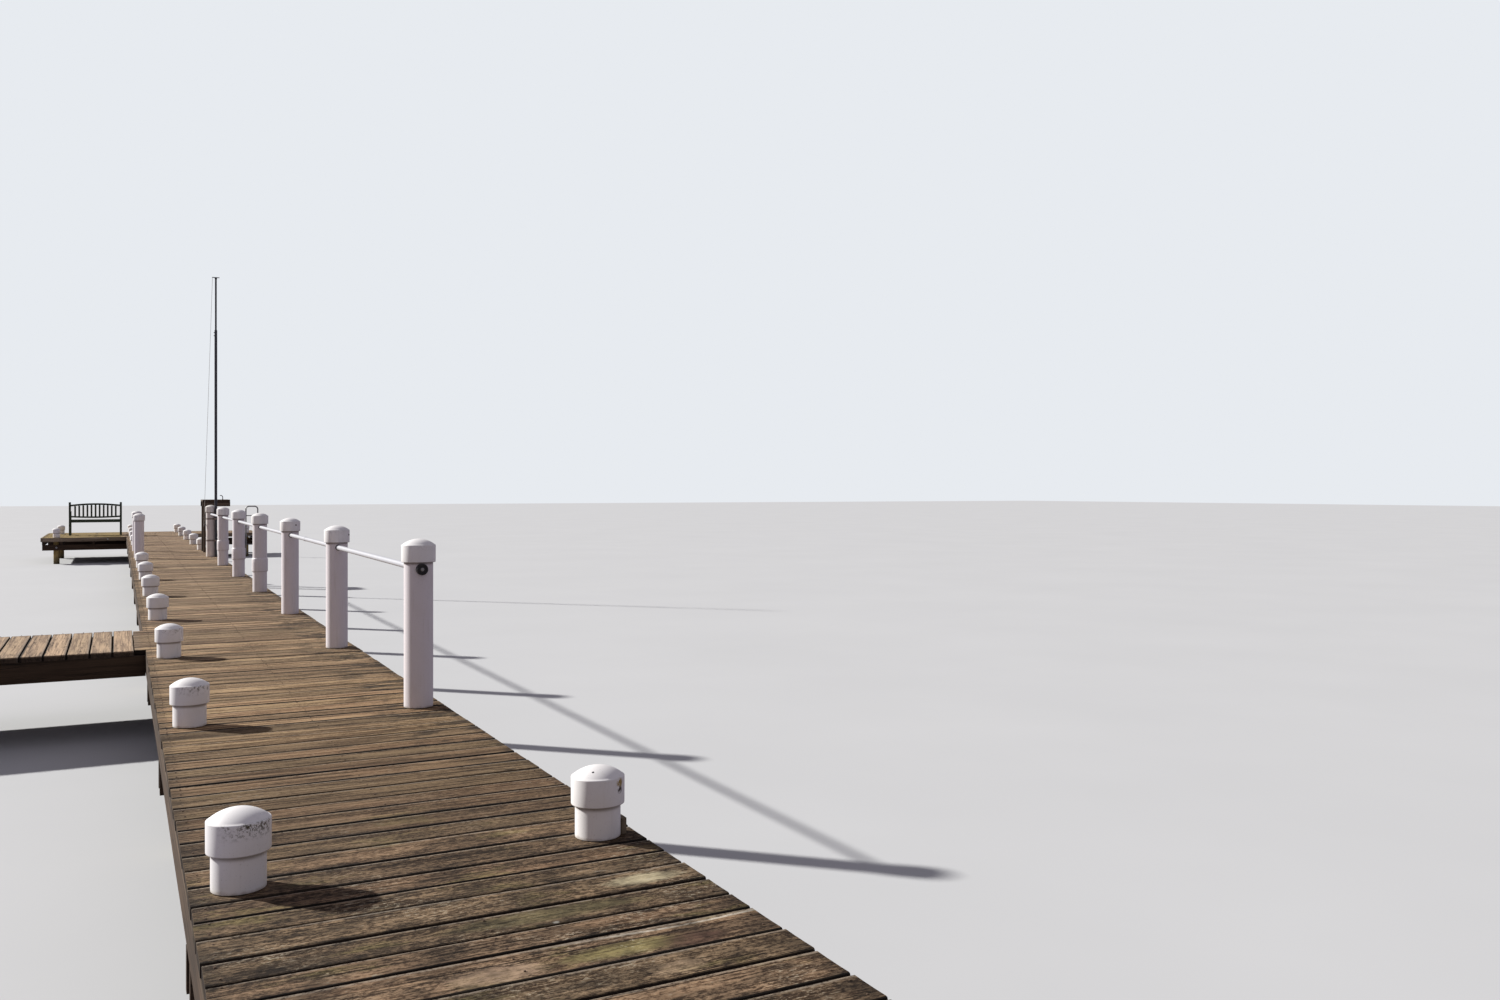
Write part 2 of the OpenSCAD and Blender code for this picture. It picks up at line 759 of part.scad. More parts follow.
module bench_rails()
    color(bench_green) {
        back_rail(bench_top_z, bench_top_rail) bowed_outline(bench_arch, bench_top_rail);
        back_rail(bench_low_z, bench_low_rail) translate([0, bench_low_rail]) mirror([0, 1])
            bowed_outline(bench_sag, bench_low_rail);
        for (y = [bench_leg, bench_seat_d - bench_leg - bench_rail_t])
            at(bench_x - bench_in / 2, bench_y + y, deck_z + bench_seat_rail_z)
                cube([bench_in, bench_rail_t, bench_seat_rail]);
    }

slat_w = 45;
slat_t = 14;
slat_step = bench_in / (bench_slats + 1);

// One back slat, leaning with the back from the lower rail to the arched one
module back_slat(x) {
    outer = abs(x) + slat_w / 2;
    z0 = bench_low_z + bench_low_rail - bow(bench_sag, outer) + seat;
    z1 = bench_top_z + bow(bench_arch, outer) - seat;
    translate([x + slat_w / 2, 0, 0]) rotate([90, 0, -90]) linear_extrude(slat_w)
        polygon([[-back_y(z0) - slat_t / 2, z0], [-back_y(z0) + slat_t / 2, z0],
            [-back_y(z1) + slat_t / 2, z1], [-back_y(z1) - slat_t / 2, z1]]);
}

module bench_back_slats()
    color(bench_green) at(bench_x, bench_y, deck_z) for (k = [1 : bench_slats])
        back_slat(-bench_in / 2 + k * slat_step);

seat_slats = 5;
seat_slat_gap = 12;
seat_slat_w = (bench_seat_d - bench_leg - (seat_slats - 1) * seat_slat_gap) / seat_slats;

module bench_seat_slats()
    color(bench_green) for (k = [0 : seat_slats - 1])
        at(bench_x - bench_in / 2, bench_y + bench_leg + k * (seat_slat_w + seat_slat_gap),
            deck_z + bench_seat_h - bench_board_t)
            cube([bench_in, seat_slat_w, bench_board_t]);

deck_shore_bays();
deck_middle_bays();
deck_outer_bays();
deck_head();
deck_finger();
piles_left();
piles_right();
piles_head();
piles_finger();
crossheads();
stringers();
head_joists();
head_fascia();
shore_trimmer();
finger_beams();
finger_bearers();
bollard_sleeves_left();
bollard_sleeves_right();
bollard_sleeves_head();
bollard_sleeves_finger();
post_sleeves_left();
post_sleeves_right();
bollard_caps();
post_caps();
socket_collars();
handrail();
rail_end_fittings();
flagpole();
topmast();
flagpole_truck();
flagpole_straps();
halyard_cleat();
halyard();
table_legs();
table_bearers();
table_top();
table_tap();
ladder_frame();
ladder_rungs();
ladder_brackets();
bench_ends();
bench_rails();
bench_back_slats();
bench_seat_slats();
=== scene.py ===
import logging
import math
from collections.abc import Iterable
from dataclasses import dataclass, field, replace
from enum import Enum
from typing import Optional, Union

import bpy
import numpy as np
from bpy.types import Material, Node, NodeSocket
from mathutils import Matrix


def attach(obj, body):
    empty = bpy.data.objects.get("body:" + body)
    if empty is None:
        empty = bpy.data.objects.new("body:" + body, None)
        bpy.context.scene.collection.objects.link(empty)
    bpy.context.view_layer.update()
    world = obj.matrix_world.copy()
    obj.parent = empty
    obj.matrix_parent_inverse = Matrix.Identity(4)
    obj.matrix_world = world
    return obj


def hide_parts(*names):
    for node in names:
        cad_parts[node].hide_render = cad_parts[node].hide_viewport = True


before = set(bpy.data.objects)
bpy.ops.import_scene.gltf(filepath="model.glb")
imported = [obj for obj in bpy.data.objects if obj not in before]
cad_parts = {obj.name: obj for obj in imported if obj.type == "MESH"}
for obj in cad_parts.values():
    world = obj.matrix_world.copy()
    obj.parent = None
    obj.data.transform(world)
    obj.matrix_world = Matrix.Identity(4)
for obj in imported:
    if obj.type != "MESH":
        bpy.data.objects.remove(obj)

# The jetty is built in walkway coordinates: x from the walkway's centre line, y from the first
# visible bent, z from the water line. Plan.origin turns them into the frame's own coordinates.

Array = np.ndarray
Rng = np.random.Generator
Span = tuple[float, float]
Triple = tuple[float, float, float]
Colour = Triple
log = logging.getLogger("jetty")
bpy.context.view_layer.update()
SEED = 41
ROOT = "root"
SIDES = (("left", -1), ("right", 1))
AXIS = 0.0006  # radius at which a turned form closes on its axis
SINK = 0.001  # depth to which a bolt's washer sits in its face


class Run(Enum):
    """The axis that a timber lies along, as the order of its width, depth and length axes."""

    X = (1, 2, 0)
    Y = (0, 2, 1)
    Z = (0, 1, 2)


@dataclass(frozen=True)
class Plan:
    """The jetty's sizes in metres, those of the part's source but for left_post_h.

    left_post_h is the height of the left row's two tall sleeves as the photograph shows them.
    """

    bay: float = 3.0
    bays: int = 12
    shore_y: float = -2.3
    shore_bent_y: float = -2.15
    half: float = 0.77
    deck_z: float = 0.715
    board_t: float = 0.045
    board_gap: float = 0.008
    seat: float = 0.0003
    pile_x: float = 0.6197
    pile_r: float = 0.075
    pile_top_room: float = 0.005
    sleeve_r: float = 0.085
    sleeve_wall: float = 0.007
    bollard_h: float = 0.22
    post_h: float = 0.96
    left_post_h: float = 0.81
    stringer_w: float = 0.075
    member_h: float = 0.15
    crosshead_t: float = 0.05
    housing: float = 0.012
    fascia_t: float = 0.032
    fascia_h: float = 0.11
    head_half: float = 2.78
    head_pile_x: float = 2.445
    head_y: float = 32.85
    right_y: float = 34.5
    right_bent_y: float = 34.65
    end_y: float = 36.95
    finger_y: float = 6.54
    finger_w: float = 1.57
    finger_end_x: float = -3.87
    finger_pile_x: float = -3.52
    finger_pile_edge: float = 0.2
    beam_t: float = 0.05
    beam_h: float = 0.165
    rail_z: float = 0.822
    origin: Span = (-0.529, 17.325)
    tall_right: tuple[int, ...] = (1, 2, 3, 4, 5, 6, 7)
    tall_left: tuple[int, ...] = (7, 8)

    @property
    def shift(self) -> Triple:
        """The frame's origin in walkway coordinates."""
        return (*self.origin, 0.0)

    @property
    def board_z(self) -> float:
        """Underside of the deck boards."""
        return self.deck_z - self.board_t

    @property
    def stringer_z(self) -> float:
        """Underside of the stringers."""
        return self.board_z - self.member_h

    @property
    def crosshead_z(self) -> float:
        """Underside of the crossheads."""
        return self.stringer_z - self.member_h

    @property
    def beam_z(self) -> float:
        """Underside of the finger's beams."""
        return self.board_z - self.beam_h

    @property
    def finger_far(self) -> float:
        """The finger's edge away from the shore."""
        return self.finger_y + self.finger_w

    @property
    def last_bents(self) -> Span:
        """Places of the head's two bents along the walkway."""
        return (self.bays - 1) * self.bay, self.bays * self.bay

    @property
    def finger_piles(self) -> list[Span]:
        """Places of the finger's two piles."""
        ends = self.finger_y + self.finger_pile_edge, self.finger_far - self.finger_pile_edge
        return [(self.finger_pile_x, y) for y in ends]

    @property
    def head_piles(self) -> list[Span]:
        """Places of the four piles at the head's outer corners.

        Returns:
            Their places across and along the walkway.
        """
        near, far = self.last_bents
        return [(-self.head_pile_x, near), (-self.head_pile_x, far),
                (self.head_pile_x, self.right_bent_y), (self.head_pile_x, far)]

    def is_tall(self, i: int, side: int) -> bool:
        """Tells whether bent i of one side, -1 left or 1 right, has a tall post."""
        return i in (self.tall_left if side < 0 else self.tall_right)

    def sleeve_h(self, i: int, side: int) -> float:
        """Length above the deck of the sleeve at bent i of one side, -1 left or 1 right."""
        tall = self.left_post_h if side < 0 else self.post_h
        return tall if self.is_tall(i, side) else self.bollard_h


PLAN = Plan()


# Shapes


@dataclass
class Patch:
    """One closed surface: its points, its faces and what its finish reads at each point.

    lie is the place in the piece's own terms, with an offset of its own for each board, mark
    holds two random tones and the distance from the nearest end, and rim runs from -1 to 1
    across a timber's width and depth.
    """

    points: Array
    faces: list[Array]
    lie: Array
    mark: Array
    rim: Array
    smooth: bool


def mm(*values: float) -> Array:
    """Pairs of millimetres, as rows of metres."""
    return np.array(values, dtype=float).reshape(-1, 2) / 1000


def stacked(x: Union[Array, float], y: Union[Array, float], z: Union[Array, float]) -> Array:
    """Three coordinates spread over one grid, as its points."""
    return np.stack(np.broadcast_arrays(x, y, z), -1)


def turns(count: int) -> Array:
    """Equal turns round a circle, in radians."""
    return np.linspace(0, 2 * math.pi, count, endpoint=False)


def wrap_grid(rows: Array, closed_rows: bool) -> list[Array]:
    """Faces of a grid of points whose columns close into rings.

    Face (i, j) joins points (i, j), (i, j + 1), (i + 1, j + 1) and (i + 1, j), with j taken
    round the ring. Two end polygons close the grid unless its rows close on themselves.

    Args:
        rows: Points as an array of rings by points by 3.
        closed_rows: True if the last ring joins the first.

    Returns:
        The index arrays of the faces.
    """
    count, around = rows.shape[:2]
    index = np.arange(count * around).reshape(count, around)
    turned = np.roll(index, -1, axis=1)
    if closed_rows:
        after = np.roll(index, -1, axis=0), np.roll(turned, -1, axis=0)
        return [np.stack([index, turned, after[1], after[0]], -1).reshape(-1, 4)]
    sides = np.stack([index[:-1], turned[:-1], turned[1:], index[1:]], -1).reshape(-1, 4)
    return [sides, index[:1, ::-1], index[-1:]]


def outward(points: Array, faces: list[Array]) -> list[Array]:
    """Turns every face of a closed surface round if its signed volume is negative.

    The volume is a sixth of the sum of a . (b x c) over the triangles of every face's fan.

    Args:
        points: The surface's points.
        faces: Its faces as index arrays.

    Returns:
        The faces, pointing out of the solid.
    """
    middle = points.mean(axis=0)
    volume = 0.0
    for group in faces:
        corner = points[group] - middle
        for n in range(1, group.shape[1] - 1):
            volume += np.einsum("ij,ij->", corner[:, 0],
                                np.cross(corner[:, n], corner[:, n + 1]))
    return faces if volume > 0 else [group[:, ::-1] for group in faces]


def grid_patch(rows: Array, lie: Array, mark: Union[Array, Triple], closed_rows: bool = False,
               smooth: bool = True, rim: Union[Array, Triple] = (0, 0, 0)) -> Patch:
    """Makes a patch from rings of points and turns its faces outwards.

    Args:
        rows: Points as an array of rings by points by 3.
        lie: Each point's place in the piece's own terms.
        mark: Two tones and the end distance, spread over the grid.
        closed_rows: True if the last ring joins the first.
        smooth: Whether the faces are shaded smooth.
        rim: Place across the piece, spread over the grid.

    Returns:
        The patch.
    """
    points = rows.reshape(-1, 3)
    mark, rim = (np.broadcast_to(part, rows.shape).reshape(-1, 3) for part in (mark, rim))
    faces = outward(points, wrap_grid(rows, closed_rows))
    return Patch(points, faces, lie.reshape(-1, 3), mark, rim, smooth)


def ripple(along: Array, rng: Rng, reach: float, waves: int = 4) -> Array:
    """A smooth wander from 0 to reach: the sum of sines of random phase, scaled to that range.

    Args:
        along: Places along the piece.
        rng: Source of the rates and phases.
        reach: The largest value.
        waves: Number of sines.

    Returns:
        The wander at each place.
    """
    rate = rng.uniform(0.6, 6.0, waves)[:, None]
    phase = rng.uniform(0, 2 * math.pi, waves)[:, None]
    wave = np.sin(rate * along[None, :] * 2 + phase).sum(axis=0) / waves
    return reach * (0.5 + 0.5 * wave)


@dataclass(frozen=True)
class Cut:
    """How a timber's edges and faces are worn."""

    edge: float = 0.004
    wander: float = 0.0008
    cup: float = 0.0
    ragged: float = 0.0
    stations: int = 8


def timber(low: Triple, high: Triple, run: Run, rng: Rng, cut: Cut = Cut()) -> Patch:
    """A sawn piece between two corners.

    Its section is a rectangle with corners of radius edge, given by points at 0, 45 and 90
    degrees round each corner's centre. The section is carried along the run, and each side is
    drawn in by its own slow wander, the top also by cup * (1 - (u / a) ** 2).

    Args:
        low: Lowest corner in walkway coordinates.
        high: Highest corner.
        run: The axis that the piece lies along.
        rng: Source of the random wander and tones.
        cut: The piece's wear.

    Returns:
        The closed surface, wholly inside the two corners.
    """
    axes = list(run.value)
    lo, hi = np.array(low)[axes], np.array(high)[axes]
    a, b = (hi[:2] - lo[:2]) / 2
    edge = min(cut.edge, a * 0.45, b * 0.45)
    turn = np.radians(np.arange(4)[:, None] * 90 + [0, 45, 90])
    centres = np.array([[1, 1], [-1, 1], [-1, -1], [1, -1]]) * [a - edge, b - edge]
    u = centres[:, :1] + edge * np.cos(turn)
    v = centres[:, 1:] + edge * np.sin(turn)
    third = a / 3
    u = np.concatenate([u[0], [third, -third], u[1], u[2], [-third, third], u[3]])
    v = np.concatenate([v[0], [b, b], v[1], v[2], [-b, -b], v[3]])
    start, end = lo[2] + cut.ragged * rng.random(), hi[2] - cut.ragged * rng.random()
    s = np.linspace(start, end, cut.stations)
    pull = [ripple(s, rng, cut.wander)[:, None] for _ in range(4)]
    cupped = np.where(v > 0, cut.cup * (1 - (u / a) ** 2), 0)
    local = stacked(u + np.where(u > 0, -pull[0], pull[1]) * (np.abs(u) / a),
                    v + np.where(v > 0, -pull[2], pull[3]) * (np.abs(v) / b) - cupped,
                    s[:, None])
    rows = np.empty_like(local)
    rows[..., axes] = local + [*(lo + hi)[:2] / 2, 0]
    lie = local[..., [2, 0, 1]] + rng.uniform(-40, 40, 3)
    mark = stacked(*rng.uniform(-1, 1, 2), np.minimum(s - start, end - s)[:, None])
    return grid_patch(rows, lie, mark, smooth=False, rim=stacked(u / a, v / b, 0.0))


def facing(out: Union[Triple, Array]) -> Array:
    """A matrix that turns an axis that points up to point along a direction.

    Args:
        out: The direction.

    Returns:
        Its columns are a side, the direction crossed with that side, and the direction.
    """
    along = np.array(out, dtype=float)
    along /= np.linalg.norm(along)
    spare = np.array([0.0, 1, 0]) if abs(along[1]) < 0.9 else np.array([1.0, 0, 0])
    side = np.cross(spare, along)
    side /= np.linalg.norm(side)
    return np.stack([side, np.cross(along, side), along], axis=1)


TO_X, TO_Y, UP = facing((1, 0, 0)), facing((0, 1, 0)), facing((0, 0, 1))


def lathe(profile: Array, centre: Union[Triple, Array], sides: int = 48, tones: Span = (0.0, 0.0),
          ring: bool = False, lay: Array = UP, smooth: bool = True) -> Patch:
    """A turned form: point (r, h) of the profile goes to (r cos t, r sin t, h) at each turn t.

    Args:
        profile: Rows of radius and height. A closed loop if ring is True.
        centre: Where height 0 of the axis stands.
        sides: Number of turns.
        tones: The two tones that the finish reads.
        ring: True for a hollow form whose profile closes on itself.
        lay: A 3 by 3 matrix that lays the upright axis another way.
        smooth: False for a form with flats, such as a nut.

    Returns:
        The closed surface.
    """
    turn, r, h = turns(sides), profile[:, :1], profile[:, 1:]
    lie = stacked(r * np.cos(turn), r * np.sin(turn), h)
    return grid_patch(lie @ lay.T + np.array(centre), lie, stacked(*tones, h), ring, smooth)


def tube(path: Array, radius: float, side: Triple, sides: int = 20) -> Patch:
    """A round bar along a path.

    At each point the ring is radius * (cos t * n + sin t * b), where b is the side vector less
    its part along the path's tangent, and n is b crossed with the tangent.

    Args:
        path: Points of the centre line.
        radius: The bar's radius.
        side: A vector that is never along the path.
        sides: Points round the bar.

    Returns:
        The closed surface.
    """
    tangent = np.gradient(path, axis=0)
    tangent /= np.linalg.norm(tangent, axis=1, keepdims=True)
    b = side - tangent * (tangent @ side)[:, None]
    b /= np.linalg.norm(b, axis=1, keepdims=True)
    n = np.cross(b, tangent)
    u, v = radius * np.cos(turns(sides)), radius * np.sin(turns(sides))
    rows = path[:, None] + n[:, None] * u[:, None] + b[:, None] * v[:, None]
    steps = np.linalg.norm(np.diff(path, axis=0), axis=1)
    length = np.concatenate([[0], np.cumsum(steps)])[:, None]
    mark = stacked(0.0, 0.0, np.minimum(length, length[-1] - length))
    return grid_patch(rows, stacked(length, u, v), mark)


def arc(centre: Array, u: Array, v: Array, start: float, end: float, steps: int) -> Array:
    """Points centre + u cos t + v sin t at equal steps of t from start to end, in degrees."""
    t = np.radians(np.linspace(start, end, steps))[:, None]
    return centre + u * np.cos(t) + v * np.sin(t)


def chamfered(w: float, d: float, edge: float) -> Array:
    """The eight corners of a rectangle of half sizes w and d with bevelled corners."""
    return np.array([[-w + edge, -d], [w - edge, -d], [w, -d + edge], [w, d - edge],
                     [w - edge, d], [-w + edge, d], [-w, d - edge], [-w, -d + edge]])


def bolt_head(place: Triple, lay: Array, across: float = 0.03) -> list[Patch]:
    """A hexagon head on a round washer, standing off a face along the laid axis.

    Args:
        place: Where the axis meets the face.
        lay: The matrix that lays the axis.
        across: The head's size.

    Returns:
        Washer and head.
    """
    washer = mm(0.5, 0, 0, 0, 0, 1, 0, 3, 0.5, 3)
    washer[1:4, 0] = np.array([0.85, 0.88, 0.85]) * across
    head = mm(0.5, 3, 0, 3, 0, 13, 0, 15, 0.5, 15)
    head[1:4, 0] = np.array([0.58, 0.58, 0.5]) * across
    return [lathe(part, place, sides, lay=lay, smooth=False)
            for part, sides in ((washer, 14), (head, 6))]


def mesh_object(name: str, patches: list[Patch]) -> bpy.types.Object:
    """Writes surfaces into one mesh, in the frame's coordinates.

    Args:
        name: The piece's name.
        patches: Its closed surfaces.

    Returns:
        The object, at the origin, with the attributes lie, mark and rim on its points.
    """
    points = np.concatenate([p.points for p in patches]) - np.array(PLAN.shift)
    first = np.cumsum([0] + [len(p.points) for p in patches])
    groups = [(g + n, p.smooth) for p, n in zip(patches, first) for g in p.faces]
    corners = np.concatenate([g.ravel() for g, _ in groups])
    totals = np.concatenate([np.full(len(g), g.shape[1]) for g, _ in groups])
    smooth = np.concatenate([np.full(len(g), s) for g, s in groups])
    starts = np.concatenate([[0], np.cumsum(totals)[:-1]])
    mesh = bpy.data.meshes.new(name)
    for part, count in ((mesh.vertices, points), (mesh.loops, corners), (mesh.polygons, totals)):
        part.add(len(count))
    mesh.vertices.foreach_set("co", points.ravel())
    mesh.loops.foreach_set("vertex_index", corners.astype(np.int32))
    mesh.polygons.foreach_set("loop_start", starts.astype(np.int32))
    mesh.polygons.foreach_set("use_smooth", smooth)
    for key in ("lie", "mark", "rim"):
        values = np.concatenate([getattr(p, key) for p in patches])
        layer = mesh.attributes.new(key, "FLOAT_VECTOR", "POINT")
        layer.data.foreach_set("vector", values.ravel().astype(np.float32))
    mesh.update(calc_edges=True)
    mesh.validate()
    if smooth.any():
        mesh.set_sharp_from_angle(angle=math.radians(32))
    return in_scene(bpy.data.objects.new(name, mesh))


def in_scene(made: bpy.types.Object) -> bpy.types.Object:
    """Links an object to the scene and returns it."""
    bpy.context.scene.collection.objects.link(made)
    return made


# Finishes


class Graph:
    """A node tree, and the one method that adds nodes to it."""

    def __init__(self, owner: Union[Material, bpy.types.World]) -> None:
        """Empties the owner's node tree.

        Args:
            owner: The material or the world that holds the tree.
        """
        owner.use_nodes = True
        self.tree = owner.node_tree
        self.tree.nodes.clear()

    def node(self, kind: str, settings: Optional[dict] = None,
             inputs: Optional[dict] = None) -> Node:
        """Adds a node.

        Args:
            kind: The node's type.
            settings: Its own settings, set first; stops are a ramp's places and colours.
            inputs: Values or links, by socket name or number.

        Returns:
            The node.
        """
        made = self.tree.nodes.new(kind)
        for key, value in (settings or {}).items():
            if key == "stops":
                ramp = made.color_ramp
                for n, (spot, colour) in enumerate(value):
                    stop = ramp.elements[n] if n < 2 else ramp.elements.new(spot)
                    stop.position, stop.color = spot, (*colour, 1.0)
            else:
                setattr(made, key, value)
        for key, value in (inputs or {}).items():
            self.feed(made.inputs[key], value)
        return made

    def feed(self, socket: NodeSocket, value: "Value") -> None:
        """Links a value to a socket, or sets it there.

        Args:
            socket: The socket to feed.
            value: A socket to link, or a number, vector or colour to set.
        """
        if isinstance(value, (Sock, NodeSocket)):
            self.tree.links.new(getattr(value, "socket", value), socket)
        elif isinstance(value, tuple) and len(socket.default_value) == 4:
            socket.default_value = (*value, 1.0)[:4]
        else:
            socket.default_value = value


class Sock:
    """A shader socket that holds a number, with the operators that the finishes use."""

    def __init__(self, graph: Graph, socket: NodeSocket) -> None:
        """Keeps the graph that the socket belongs to."""
        self.graph, self.socket = graph, socket

    def math(self, operation: str, *values: "Number", clamp: bool = False) -> "Sock":
        """A Math node on this socket and other values."""
        return sum_up(self.graph, operation, self, *values, clamp=clamp)

    def __add__(self, other: "Number") -> "Sock":
        """Sum."""
        return self.math("ADD", other)

    def __sub__(self, other: "Number") -> "Sock":
        """Difference."""
        return self.math("SUBTRACT", other)

    def __rsub__(self, other: float) -> "Sock":
        """A number less this socket."""
        return sum_up(self.graph, "SUBTRACT", other, self)

    def __mul__(self, other: "Number") -> "Sock":
        """Product."""
        return self.math("MULTIPLY", other)

    def __truediv__(self, other: "Number") -> "Sock":
        """Quotient."""
        return self.math("DIVIDE", other)

    def __abs__(self) -> "Sock":
        """Size without sign."""
        return self.math("ABSOLUTE")

    __radd__, __rmul__ = __add__, __mul__

    def band(self, low: float, high: float) -> "Sock":
        """0 below low, 1 above high and a smooth step between; low may be the higher one.

        Args:
            low: Where the result is 0.
            high: Where it is 1.

        Returns:
            The step.
        """
        ends = (0.0, 1.0) if low < high else (1.0, 0.0)
        made = self.graph.node(
            "ShaderNodeMapRange", {"interpolation_type": "SMOOTHSTEP"},
            {"Value": self, "From Min": min(low, high), "From Max": max(low, high),
             "To Min": ends[0], "To Max": ends[1]})
        return Sock(self.graph, made.outputs[0])


Number = Union[Sock, float]
Value = Union[Sock, NodeSocket, float, tuple]


def sum_up(graph: Graph, operation: str, *values: Number, clamp: bool = False) -> Sock:
    """A Math node.

    Args:
        graph: Where it is added.
        operation: What it works out.
        values: Its sockets or plain numbers, in order.
        clamp: Whether the result is held between 0 and 1.

    Returns:
        Its result.
    """
    made = graph.node("ShaderNodeMath", {"operation": operation, "use_clamp": clamp},
                      dict(enumerate(values)))
    return Sock(graph, made.outputs[0])


class Recipe(Graph):
    """One material's node tree, and the few ways in which the finishes add nodes to it."""

    def __init__(self, name: str) -> None:
        """Makes the material with a bare Principled shader.

        Args:
            name: The material's name.
        """
        self.material = bpy.data.materials.new(name)
        super().__init__(self.material)
        self.spot: Optional[NodeSocket] = None
        self.shader = self.node("ShaderNodeBsdfPrincipled")
        self.node("ShaderNodeOutputMaterial", {}, {0: self.shader.outputs[0]})

    def attribute(self, name: str) -> NodeSocket:
        """A point attribute's vector."""
        return self.node("ShaderNodeAttribute", {"attribute_name": name}).outputs["Vector"]

    def parts(self, vector: NodeSocket) -> tuple[Sock, Sock, Sock]:
        """A vector's three numbers."""
        made = self.node("ShaderNodeSeparateXYZ", {}, {0: vector})
        return tuple(Sock(self, made.outputs[n]) for n in range(3))

    def vector(self, operation: str, *values: Value) -> Node:
        """A Vector Math node."""
        return self.node("ShaderNodeVectorMath", {"operation": operation},
                         dict(enumerate(values)))

    def scaled(self, vector: NodeSocket, by: Triple, shift: Triple = (0, 0, 0)) -> NodeSocket:
        """A vector times one factor for each axis, plus a shift."""
        return self.vector("MULTIPLY_ADD", vector, by, shift).outputs[0]

    def dim(self, colour: Value, by: Value) -> NodeSocket:
        """A colour times a number.

        Args:
            colour: The colour.
            by: The number.

        Returns:
            The dimmed colour.
        """
        made = self.vector("SCALE", colour)
        self.feed(made.inputs["Scale"], by)
        return made.outputs[0]

    def noise(self, vector: NodeSocket, scale: float = 1.0, detail: float = 4.0,
              rough: float = 0.55, twist: float = 0.0) -> Sock:
        """Noise about 0.5.

        Args:
            vector: Where it is read.
            scale: Its frequency.
            detail: Number of finer layers.
            rough: How strong they are.
            twist: How far it is distorted.

        Returns:
            The noise.
        """
        made = self.node("ShaderNodeTexNoise", {},
                         {"Vector": vector, "Scale": scale, "Detail": detail,
                          "Roughness": rough, "Distortion": twist})
        return Sock(self, made.outputs[0])

    def mix(self, share: Value, a: Value, b: Value, blend: str = "MIX") -> NodeSocket:
        """Colour a with a share of b over it."""
        settings = {"data_type": "RGBA", "blend_type": blend}
        return self.node("ShaderNodeMix", settings, {0: share, 6: a, 7: b}).outputs[2]

    def cover(self, share: Sock, under: Value, over: Value) -> NodeSocket:
        """One colour over another, the share held between 0 and 1."""
        return self.mix(share.math("MULTIPLY", 1.0, clamp=True), under, over)

    def place(self) -> NodeSocket:
        """Walkway coordinates: the object's own, moved by Plan.origin.

        Returns:
            The one vector that all the recipe's nodes read.
        """
        if self.spot is None:
            own = self.node("ShaderNodeTexCoord").outputs["Object"]
            self.spot = self.scaled(own, (1, 1, 1), PLAN.shift)
        return self.spot

    def blot(self, centre: Triple, reach: Triple) -> Sock:
        """1 inside an ellipsoid in walkway coordinates, falling to 0 at its surface.

        Args:
            centre: Its middle.
            reach: Its half sizes.

        Returns:
            The mask.
        """
        shift = tuple(-c / h for c, h in zip(centre, reach))
        local = self.scaled(self.place(), tuple(1 / h for h in reach), shift)
        return Sock(self, self.vector("LENGTH", local).outputs["Value"]).band(1.0, 0.35)

    def knots(self, vector: NodeSocket) -> Sock:
        """1 in small round spots, one to a cell."""
        made = self.node("ShaderNodeTexVoronoi", {}, {"Vector": vector, "Scale": 1.0})
        return Sock(self, made.outputs["Distance"]).band(0.085, 0.035)

    def finish(self, colour: Value, roughness: Value, relief: Optional[Sock] = None,
               depth: float = 0.001, **constants: float) -> Material:
        """Feeds the shader and returns the material.

        Args:
            colour: Base colour.
            roughness: Roughness.
            relief: Height for the Bump node, or None.
            depth: The relief's depth in metres.
            constants: Other shader sockets, by name with underscores for spaces.

        Returns:
            The material.
        """
        self.feed(self.shader.inputs["Base Color"], colour)
        self.feed(self.shader.inputs["Roughness"], roughness)
        for key, value in constants.items():
            self.shader.inputs[key.replace("_", " ")].default_value = value
        if relief is not None:
            bump = self.node("ShaderNodeBump", {}, {"Height": relief, "Distance": depth,
                                                    "Strength": 1.0})
            self.feed(self.shader.inputs["Normal"], bump.outputs[0])
        return self.material


